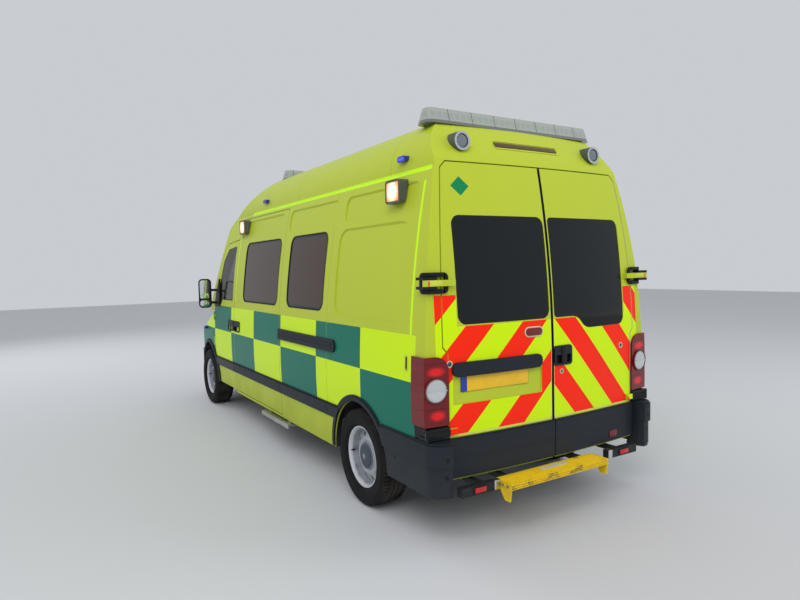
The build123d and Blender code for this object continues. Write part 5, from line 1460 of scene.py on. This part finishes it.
@dataclass
class RearFittings:
    """Small fittings of the rear: stop lamp, reflectors, caps, lock, lever, sensors and hinge surrounds."""

    van: Van
    stop_middle: tuple[float, float] = (0.010, 2.460)
    stop_size: tuple[float, float] = (0.580, 0.048)
    oval_middle: tuple[float, float] = (0.1645, 1.247)
    oval_size: tuple[float, float] = (0.155, 0.066)
    caps: tuple[tuple[float, float], ...] = ((0.813, 1.098), (-0.706, 1.083))
    lock: tuple[float, float] = (-0.080, 0.966)
    low_reflector: tuple[float, float] = (-0.593, 0.463)
    lever: tuple[float, float] = (-0.092, 1.073)
    hinge_middle: tuple[float, float] = (0.902, 1.580)
    hinge_size: tuple[float, float] = (0.186, 0.126)
    hinge_cut: tuple[float, float] = (0.833, 0.843)
    hinge_row: float = 1.480
    hinge_corner: float = 0.945
    cover_across: float = 0.922
    reflector_across: float = 0.964
    sensors: tuple[tuple[float, float], ...] = ((0.905, 0.560), (0.905, 0.455))
    side_sensor: tuple[float, float] = (-0.503, 0.478)
    sensor_outline: tuple[tuple[float, float], ...] = (
        (0.0, 0.0022), (0.0085, 0.0022), (0.0100, 0.0010), (0.0120, 0.0014), (0.0130, 0.0), (0.0130, -0.002),
        (0.0, -0.002))

    def build(self) -> None:
        """Makes every fitting."""
        self._stop_lamp()
        self._oval_lamp()
        self._caps_and_lock()
        self._low_fittings()
        self._sensors()
        self._hinges()

    def _lay(self, form: Form, skin: Skin, place: tuple[float, float], name: str, body: str, slot: str,
             material: bpy.types.Material) -> None:
        """Lays a form on the rear and makes it a piece."""
        self.van.piece(form.laid(skin, Face.REAR, place), name, body, slot, material)

    def _stop_lamp(self) -> None:
        """The long stop lamp at the top of the rear, in its painted rim."""
        finishes = self.van.finishes
        roof = self.van.skin("roof_cap")
        width, height = self.stop_size
        rim = Form().slab(width + 0.012, height + 0.012, 0.024, 0.006, border=0.012, soften=0.002).divide(2)
        self._lay(rim, roof, self.stop_middle, "stop_lamp_rim", "body", "paint", finishes.lime_trim)
        lens = Form().slab(width - 0.016, height - 0.018, 0.012, 0.007, 0.001, soften=0.003).divide(2)
        self._lay(lens, roof, self.stop_middle, "stop_lamp_lens", "body", "red_lens", finishes.brown_lens)

    def _oval_lamp(self) -> None:
        """The oval lamp on the left door, in its pale rim."""
        finishes = self.van.finishes
        body = "left_rear_door"
        door = self.van.skin(body)
        width, height = self.oval_size
        rim = Form().slab(width, height, 0.0325, 0.004, border=0.008, soften=0.0015)
        self._lay(rim, door, self.oval_middle, "oval_lamp_rim", body, "paint", finishes.pale_trim)
        lens = Form().slab(width - 0.016, height - 0.016, 0.0245, 0.008, soften=0.004)
        self._lay(lens, door, self.oval_middle, "oval_lamp_lens", body, "red_lens", finishes.oval_lens)

    def _caps_and_lock(self) -> None:
        """The round cap of each door, and the lock of the right one."""
        finishes = self.van.finishes
        for name, place in zip(SIDES, self.caps):
            body = f"{name}_rear_door"
            door = self.van.skin(body)
            ring = Form().ring(0.021, 0.014, 0.003, steps=32)
            self._lay(ring, door, place, f"{name}_cap_ring", body, "paint", finishes.pale_trim)
            cap = Form().dome(0.0145, 0.004, steps=24)
            self._lay(cap, door, place, f"{name}_cap", body, "black_plastic", finishes.cap)
        body = "right_rear_door"
        door = self.van.skin(body)
        ring = Form().ring(0.017, 0.011, 0.003, steps=32)
        self._lay(ring, door, self.lock, "lock_ring", body, "paint", finishes.pale_trim)
        barrel = Form().turned([(0.0, 0.0025), (0.0105, 0.0025), (0.0115, 0.0), (0.0, -0.001)], 24)
        barrel.block((-0.0012, -0.006, 0.002), (0.0012, 0.006, 0.0032))
        self._lay(barrel, door, self.lock, "lock_barrel", body, "steel", finishes.brake)

    def _low_fittings(self) -> None:
        """The low reflector and the pull lever on the right door's cladding."""
        finishes = self.van.finishes
        body = "right_rear_door"
        cladding = self.van.skin("right_door_cladding")
        form = Form().slab(0.085, 0.046, 0.006, 0.006, soften=0.002)
        self._lay(form, cladding, self.low_reflector, "low_reflector", body, "red_lens", finishes.oval_lens)
        form = Form().slab(0.042, 0.112, 0.008, 0.010, -0.004, soften=0.003)
        form.flat(cladding, Face.REAR, self.lever)
        self.van.piece(form, "rear_pull_lever", body, "black_plastic", finishes.black)

    def _sensors(self) -> None:
        """The parking sensors in the bumper corners."""
        black = self.van.finishes.black
        skin = self.van.skin("rear_bumpers")
        outline = list(self.sensor_outline)
        x, z = self.side_sensor
        for (name, side), (flank, _) in zip(SIDES.items(), FLANKS):
            form = Form()
            for across, up in self.sensors:
                form.turned(outline, 24, place=(side * across, up))
            self._lay(form, skin, (0.0, 0.0), f"{name}_rear_sensors", "body", "grey_plastic", black)
            form = Form().turned(outline, 24).laid(skin, flank, (self.van.rear_x + x, z))
            self.van.piece(form, f"{name}_side_sensor", "body", "grey_plastic", black)

    def _hinges(self) -> None:
        """The black surrounds of the upper hinges, split at the doors' edges, and their amber reflectors."""
        finishes = self.van.finishes
        width, height = self.hinge_size
        inner, outer = self.hinge_cut
        for name, side in SIDES.items():
            door = f"{name}_rear_door"
            skin = self.van.skin(f"{name}_side_panel", door)
            place = (side * self.hinge_middle[0], self.hinge_middle[1])
            for part, body, edge, keep in (("inner", door, inner, 1), ("outer", "body", outer, -1)):
                form = Form().slab(width, height, 0.030, 0.017, -0.001, border=0.027, soften=0.005).divide(4)
                form.kept((side * (edge - self.hinge_middle[0]), 0.0, 0.0), (side * keep, 0.0, 0.0))
                form.wrapped(skin, place, self.hinge_row, self.hinge_corner)
                self.van.piece(form, f"{name}_hinge_surround_{part}", body, "black_plastic", finishes.black)
            strap = self.van.skin(door)
            form = Form().slab(0.112, 0.0352, 0.007, 0.012, -0.010, soften=0.004)
            form.flat(strap, Face.REAR, (side * self.cover_across, place[1]))
            self.van.piece(form, f"{name}_hinge_cover", door, "paint", finishes.lime_trim)
            form = Form().slab(0.015, 0.028, 0.003, 0.0035, soften=0.0008)
            form.flat(strap, Face.REAR, (side * self.reflector_across, place[1]))
            self.van.piece(form, f"{name}_hinge_reflector", door, "red_lens", finishes.amber)


@dataclass
class SideFittings:
    """Small fittings of the flanks: the slot near the rear corner, window gaskets and moulding screws."""

    van: Van
    slot_middle: tuple[float, float] = (-0.662, 1.097)
    windows: tuple[tuple[str, tuple[float, float]], ...] = (("one", WINDOW_ONE), ("two", WINDOW_TWO))
    window_z: tuple[float, float] = WINDOW_Z
    window_radius: float = 0.080
    joint_x: float = 0.500
    moulding_z: float = 0.606
    screw_offset: float = 0.030

    def build(self) -> None:
        """Makes the fittings of both sides."""
        self._slot()
        for face, side in FLANKS:
            self._gaskets(face, side)
            self._screws(face, side)

    def _slot(self) -> None:
        """The dark slot in its bright ring, on the left flank alone."""
        finishes = self.van.finishes
        left = self.van.skin("left_side_panel")
        place = (self.van.rear_x + self.slot_middle[0], self.slot_middle[1])
        ring = Form().slab(0.042, 0.100, 0.0205, 0.004, border=0.010, soften=0.0015)
        ring.laid(left, Face.LEFT, place)
        self.van.piece(ring, "flank_slot_ring", "body", "paint", finishes.film_trim)
        slot = Form().slab(0.020, 0.078, 0.0095, 0.002).laid(left, Face.LEFT, place)
        self.van.piece(slot, "flank_slot", "body", "black_plastic", finishes.black)

    def _gaskets(self, face: Face, side: str) -> None:
        """The rubber round both windows of one flank.

        Args:
            face: The flank.
            side: Its name.
        """
        door = ("sliding_door",) if face is Face.LEFT else ()
        glass = self.van.skin("side_glass", f"{side}_side_panel", *door)
        height = self.window_z[1] - self.window_z[0]
        for number, span in self.windows:
            form = Form().slab(span[1] - span[0] + 0.006, height + 0.006, self.window_radius + 0.003, 0.003,
                               border=0.014, soften=0.001).divide(5)
            form.laid(glass, face, (self.van.rear_x + sum(span) / 2, sum(self.window_z) / 2))
            self.van.piece(form, f"{side}_window_{number}_gasket", "body", "black_plastic",
                           self.van.finishes.rubber)

    def _screws(self, face: Face, side: str) -> None:
        """The two screws at the joint of one flank's moulding.

        Args:
            face: The flank.
            side: Its name.
        """
        trims = self.van.skin("side_mouldings")
        form = Form()
        for offset in (-self.screw_offset, self.screw_offset):
            form.dome(0.008, 0.0035, place=(offset, 0.0), steps=16)
        form.laid(trims, face, (self.van.rear_x + self.joint_x, self.moulding_z))
        self.van.piece(form, f"{side}_moulding_screws", "body", "black_plastic", self.van.finishes.black)


@dataclass
class RoofLamps:
    """Lenses, screws and cells of the floodlights, the round lamps, the markers and the lightbars."""

    van: Van
    floods: tuple[tuple[float, float], ...] = FLOODS
    flood_size: tuple[float, float] = (0.146, 0.124)
    flood_screws: tuple[float, float] = (0.077, 0.066)
    round_middle: tuple[float, float] = (0.590, 2.450)
    markers: tuple[tuple[float, float], ...] = ((2.196, 2.370), (-0.422, 2.370), (4.228, 0.962))

    def build(self) -> None:
        """Makes every lamp's pieces."""
        self._floods()
        self._rounds()
        self._markers()
        self._bars()

    def _floods(self) -> None:
        """A ribbed lens with rows of cells, and four screws in the rim."""
        finishes = self.van.finishes
        skin = self.van.skin("work_lamps")
        width, height = self.flood_size
        over, up = self.flood_screws
        for face, side in FLANKS:
            for number, (x, z) in enumerate(self.floods):
                place = (self.van.rear_x + x, z)
                lens = Form().slab(width - 0.004, height - 0.004, 0.012, 0.004, 0.001, soften=0.002)
                for column in range(5):
                    for row in range(4):
                        lens.dome(0.0095, 0.0035, 0.005, steps=12,
                                  place=((column - 2) * 0.0265, (row - 1.5) * 0.0275))
                lens.laid(skin, face, place)
                self.van.piece(lens, f"{side}_flood_lens_{number}", "body", "clear_lens", finishes.flood_lens)
                screws = Form()
                for across in (-over, over):
                    for along in (-up, up):
                        screws.dome(0.0042, 0.002, place=(across, along), steps=12)
                screws.laid(skin, face, place)
                self.van.piece(screws, f"{side}_flood_screws_{number}", "body", "steel", finishes.steel)

    def _rounds(self) -> None:
        """The bright ring, studs and grey centre of the round lamps."""
        finishes = self.van.finishes
        skin = self.van.skin("work_lamps")
        for name, side in SIDES.items():
            place = (side * self.round_middle[0], self.round_middle[1])
            ring = Form().ring(0.0595, 0.0445, 0.003, steps=56).laid(skin, Face.REAR, place)
            self.van.piece(ring, f"{name}_round_lamp_ring", "body", "steel", finishes.chrome)
            studs = Form()
            for step in range(12):
                angle = math.tau * step / 12
                studs.dome(0.0038, 0.0025, 0.0028, steps=10,
                           place=(0.052 * math.cos(angle), 0.052 * math.sin(angle)))
            studs.laid(skin, Face.REAR, place)
            self.van.piece(studs, f"{name}_round_lamp_studs", "body", "clear_lens", finishes.clear_lens)
            lens = Form().dome(0.0425, 0.006, 0.0015, steps=40).laid(skin, Face.REAR, place)
            self.van.piece(lens, f"{name}_round_lamp_lens", "body", "clear_lens", finishes.grey_lens)

    def _markers(self) -> None:
        """The three cells on each blue marker, darker on the front one of the roof."""
        finishes = self.van.finishes
        skin = self.van.skin("blue_markers")
        for face, side in FLANKS:
            for number, (x, z) in enumerate(self.markers):
                place = (self.van.rear_x + x, z)
                cells = Form()
                for column in range(3):
                    cells.slab(0.019, 0.017, 0.005, 0.0022, place=((column - 1) * 0.0225, 0.0), soften=0.001)
                cells.laid(skin, face, place)
                material = finishes.blue_dark if number == 0 else finishes.blue_glow
                self.van.piece(cells, f"{side}_marker_cells_{number}", "body", "blue_lens", material)

    def _bars(self) -> None:
        """The feet of the lightbars, from the roof up into each bar's base."""
        points = [vertex.co for vertex in self.van.nodes["lightbars"].data.vertices]
        split = sum(point.x for point in points) / len(points)
        roof = self.van.skin("roof_cap")
        for name, rear in (("rear", True), ("front", False)):
            own = [point for point in points if (point.x < split) == rear]
            base = min(point.z for point in own)
            middle = (min(point.x for point in own) + max(point.x for point in own)) / 2
            feet = Form()
            for across in (-0.42, 0.42):
                ground = roof.onto(Face.TOP, middle, across, -0.004).z
                feet.block((middle - 0.052, across - 0.036, ground),
                           (middle + 0.052, across + 0.036, base + 0.012), 0.006)
            self.van.piece(feet, f"{name}_bar_feet", "body", "black_plastic", self.van.finishes.black)


@dataclass
class Mirrors:
    """The glasses of both door mirrors."""

    van: Van
    middle_y: float = 1.106
    glass_width: float = 0.120
    glasses: tuple[tuple[float, float], ...] = ((1.352, 1.576), (1.261, 1.336))
    radius: float = 0.030

    def build(self) -> None:
        """Makes a large flat glass and a small convex one on each side."""
        for name, side in SIDES.items():
            skin = self.van.skin(f"{name}_door_trim")
            for number, (low, high) in enumerate(self.glasses):
                form = Form().slab(self.glass_width, high - low, self.radius, 0.0035, 0.0015, soften=0.0012)
                form.laid(skin, Face.REAR, (side * self.middle_y, (low + high) / 2))
                self.van.piece(form, f"{name}_mirror_glass_{number}", f"{name}_cab_door", "clear_lens",
                               self.van.finishes.mirror)


@dataclass
class RearStepFittings:
    """The worn pad, ribs and end bolts of the rear step, and the lamps and polished sleeves of the tubes."""

    van: Van
    step_x: float = -1.035
    step_y: tuple[float, float] = (-0.300, 0.550)
    step_top: float = 0.385
    pad_y: tuple[float, float] = (-0.020, 0.205)
    tubes: tuple[tuple[float, float], ...] = ((0.555, 0.845), (-0.704, -0.408))
    tube_x: tuple[float, float] = (-1.0183, -0.9743)
    tube_z: tuple[float, float] = (0.338, 0.394)

    def build(self) -> None:
        """Makes the step's and the tubes' pieces."""
        finishes = self.van.finishes
        x = self.van.rear_x + self.step_x
        form = Form().block((x + 0.012, self.pad_y[0], self.step_top - 0.001),
                            (x + 0.052, self.pad_y[1], self.step_top + 0.0015), 0.001, 1)
        self.van.piece(form, "step_pad", "body", "aluminium", finishes.worn_pad)
        ribs = Form()
        first, last = self.step_y[0] + 0.02, self.step_y[1] - 0.02
        beside_pad = ((first, self.pad_y[0] - 0.01), (self.pad_y[1] + 0.01, last))
        for row in range(9):
            low = x - 0.060 + row * 0.0125
            for start, end in beside_pad if row > 5 else ((first, last),):
                ribs.block((low, start, self.step_top - 0.001), (low + 0.005, end, self.step_top + 0.0014),
                           0.0008, 1)
        self.van.piece(ribs, "step_ribs", "body", "step_paint", finishes.step)
        bolts = Form()
        for across in (self.step_y[0] - 0.001, self.step_y[1] + 0.001):
            for ahead in (-0.045, 0.0):
                turn = Matrix.Rotation(math.pi / 2 * (-1 if across > 0 else 1), 4, "X")
                head = Form().turned([(0.0, 0.006), (0.009, 0.005), (0.010, 0.0), (0.0, -0.002)], 6)
                head.moved(Matrix.Translation((x + ahead, across, 0.366)) @ turn)
                spare = bpy.data.meshes.new("bolt")
                head.mesh.to_mesh(spare)
                head.mesh.free()
                bolts.mesh.from_mesh(spare)
                bpy.data.meshes.remove(spare)
        self.van.piece(bolts, "step_bolts", "body", "steel", finishes.steel)
        self._tubes()

    def _tubes(self) -> None:
        """Red lamps on the square tubes in black bezels, and a polished sleeve at each inner end."""
        finishes = self.van.finishes
        back, front = (self.van.rear_x + x for x in self.tube_x)
        low, high = self.tube_z
        for name, (start, end) in zip(SIDES, self.tubes):
            side = SIDES[name]
            inner = start if side > 0 else end
            near, far = sorted((inner - 0.004, inner + side * 0.046))
            sleeve = Form().block((back - 0.002, near, low - 0.002), (front + 0.002, far, high + 0.002),
                                  0.006)
            self.van.piece(sleeve, f"{name}_tube_sleeve", "body", "steel", finishes.chrome)
            middle = (start + end) / 2 + side * 0.010
            bezel = Form().block((back - 0.006, middle - 0.052, low + 0.006),
                                 (back + 0.004, middle + 0.052, high - 0.006), 0.005)
            self.van.piece(bezel, f"{name}_tube_lamp_bezel", "body", "black_plastic", finishes.black)
            lens = Form().block((back - 0.010, middle - 0.042, low + 0.013),
                                (back - 0.004, middle + 0.042, high - 0.013), 0.003)
            self.van.piece(lens, f"{name}_tube_lamp", "body", "red_lens", finishes.marker_red)


@dataclass
class FrontEnd:
    """Wipers, headlamp rings and lenses, and fog lamps."""

    van: Van
    blade: float = 0.600
    wipers: tuple[tuple[float, float], ...] = ((-0.360, 1.292), (0.300, 1.296))
    lamp_rings: tuple[tuple[float, float, float], ...] = ((0.800, 0.772, 0.050), (0.610, 0.768, 0.040),
                                                          (0.845, 0.872, 0.028))
    fog: tuple[float, float] = (0.690, 0.440)

    def build(self) -> None:
        """Makes the pieces of the front."""
        self._wipers()
        self._lamps()

    def _wipers(self) -> None:
        """Two blades with arms and pivots, parked along the foot of the windscreen."""
        finishes = self.van.finishes
        skin = self.van.skin("windscreen")
        tray = self.van.skin("scuttle", "windscreen")
        for number, (across, up) in enumerate(self.wipers):
            blade = Form().block((-self.blade / 2, -0.006, 0.006), (self.blade / 2, 0.006, 0.020), 0.003)
            blade.divide(3).laid(skin, Face.FRONT, (across, up), 0.04)
            self.van.piece(blade, f"wiper_blade_{number}", "body", "black_plastic", finishes.rubber)
            arm = Form().block((-0.230, -0.009, 0.018), (0.030, 0.009, 0.032), 0.004).divide(3)
            arm.laid(skin, Face.FRONT, (across - 0.020, up - 0.010), 0.10)
            self.van.piece(arm, f"wiper_arm_{number}", "body", "black_metal", finishes.black)
            outline = [(0.0, 0.040), (0.014, 0.038), (0.017, 0.030), (0.019, -0.004), (0.0, -0.004)]
            pivot = Form().turned(outline, 24).laid(tray, Face.FRONT, (across - 0.252, up - 0.034))
            self.van.piece(pivot, f"wiper_pivot_{number}", "body", "black_plastic", finishes.black)

    def _lamps(self) -> None:
        """Rings and lenses of the headlamps and the fog lamps, with an amber indicator third."""
        finishes = self.van.finishes
        skin = self.van.skin("headlamps")
        bumper = self.van.skin("front_bumper")
        for name, side in SIDES.items():
            for number, (across, up, radius) in enumerate(self.lamp_rings):
                place = (side * across, up)
                ring = Form().ring(radius, radius - 0.007, 0.0025).laid(skin, Face.FRONT, place)
                self.van.piece(ring, f"{name}_headlamp_ring_{number}", "body", "steel", finishes.chrome)
                lens = Form().dome(radius - 0.006, 0.003, 0.0, steps=36).laid(skin, Face.FRONT, place)
                material = finishes.amber_lens if number == 2 else finishes.projector
                self.van.piece(lens, f"{name}_headlamp_lens_{number}", "body", "clear_lens", material)
            place = (side * self.fog[0], self.fog[1])
            ring = Form().ring(0.050, 0.041, 0.006).laid(bumper, Face.FRONT, place)
            self.van.piece(ring, f"{name}_fog_ring", "body", "black_plastic", finishes.black)
            lens = Form().dome(0.042, 0.007, 0.0, steps=36).laid(bumper, Face.FRONT, place)
            self.van.piece(lens, f"{name}_fog_lens", "body", "clear_lens", finishes.projector)


@dataclass
class CabTrim:
    """What shows through the cab's glass: the instrument hood, vents, gear lever and console."""

    van: Van

    def build(self) -> None:
        """Makes the cab's small pieces."""
        finishes = self.van.finishes
        front = self.van.front_x
        hood = Form().block((front - 0.480, -0.600, 1.165), (front - 0.360, -0.240, 1.235), 0.024, 3)
        self.van.piece(hood, "instrument_hood", "body", "dash_plastic", finishes.dash)
        vents = Form()
        for across in (-0.720, -0.090, 0.090, 0.640):
            vents.block((front - 0.522, across - 0.050, 1.085), (front - 0.498, across + 0.050, 1.135), 0.008)
        self.van.piece(vents, "dash_vents", "body", "dash_plastic", finishes.black)
        lever = Form().turned([(0.0, 0.250), (0.016, 0.246), (0.023, 0.230), (0.024, 0.212), (0.014, 0.196),
                               (0.008, 0.180), (0.008, 0.060), (0.040, 0.020), (0.055, 0.0), (0.0, 0.0)], 20)
        lever.moved(Matrix.Translation((front - 0.560, -0.080, 0.910)) @ Matrix.Rotation(-0.35, 4, "Y"))
        self.van.piece(lever, "gear_lever", "body", "dash_plastic", finishes.black)
        console = Form().block((front - 0.620, -0.150, 0.780), (front - 0.480, 0.100, 0.940), 0.030, 3)
        self.van.piece(console, "gear_console", "body", "dash_plastic", finishes.dash)


def main() -> None:
    """Builds the whole scene in order."""
    logging.basicConfig(level=logging.INFO, format="%(message)s")
    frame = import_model()
    rear_x = sum(corner[0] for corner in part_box("rear_left_rim")) / 2
    front_x = sum(corner[0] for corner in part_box("front_left_rim")) / 2
    PhotoCamera(rear_x).build()
    Studio().build()
    bpy.context.scene.view_settings.view_transform = "Standard"
    finishes = Finishes(rear_x, front_x)
    finishes.dress(frame["nodes"])
    LOG.info("dressed %d nodes", len(frame["nodes"]))
    van = Van(frame["nodes"], finishes, rear_x, front_x)
    for assembly in (RoadWheels, NumberPlates, TailLamps, RearFittings, SideFittings, RoofLamps, Mirrors,
                     RearStepFittings, FrontEnd, CabTrim):
        assembly(van).build()


if __name__ == "__main__":
    main()
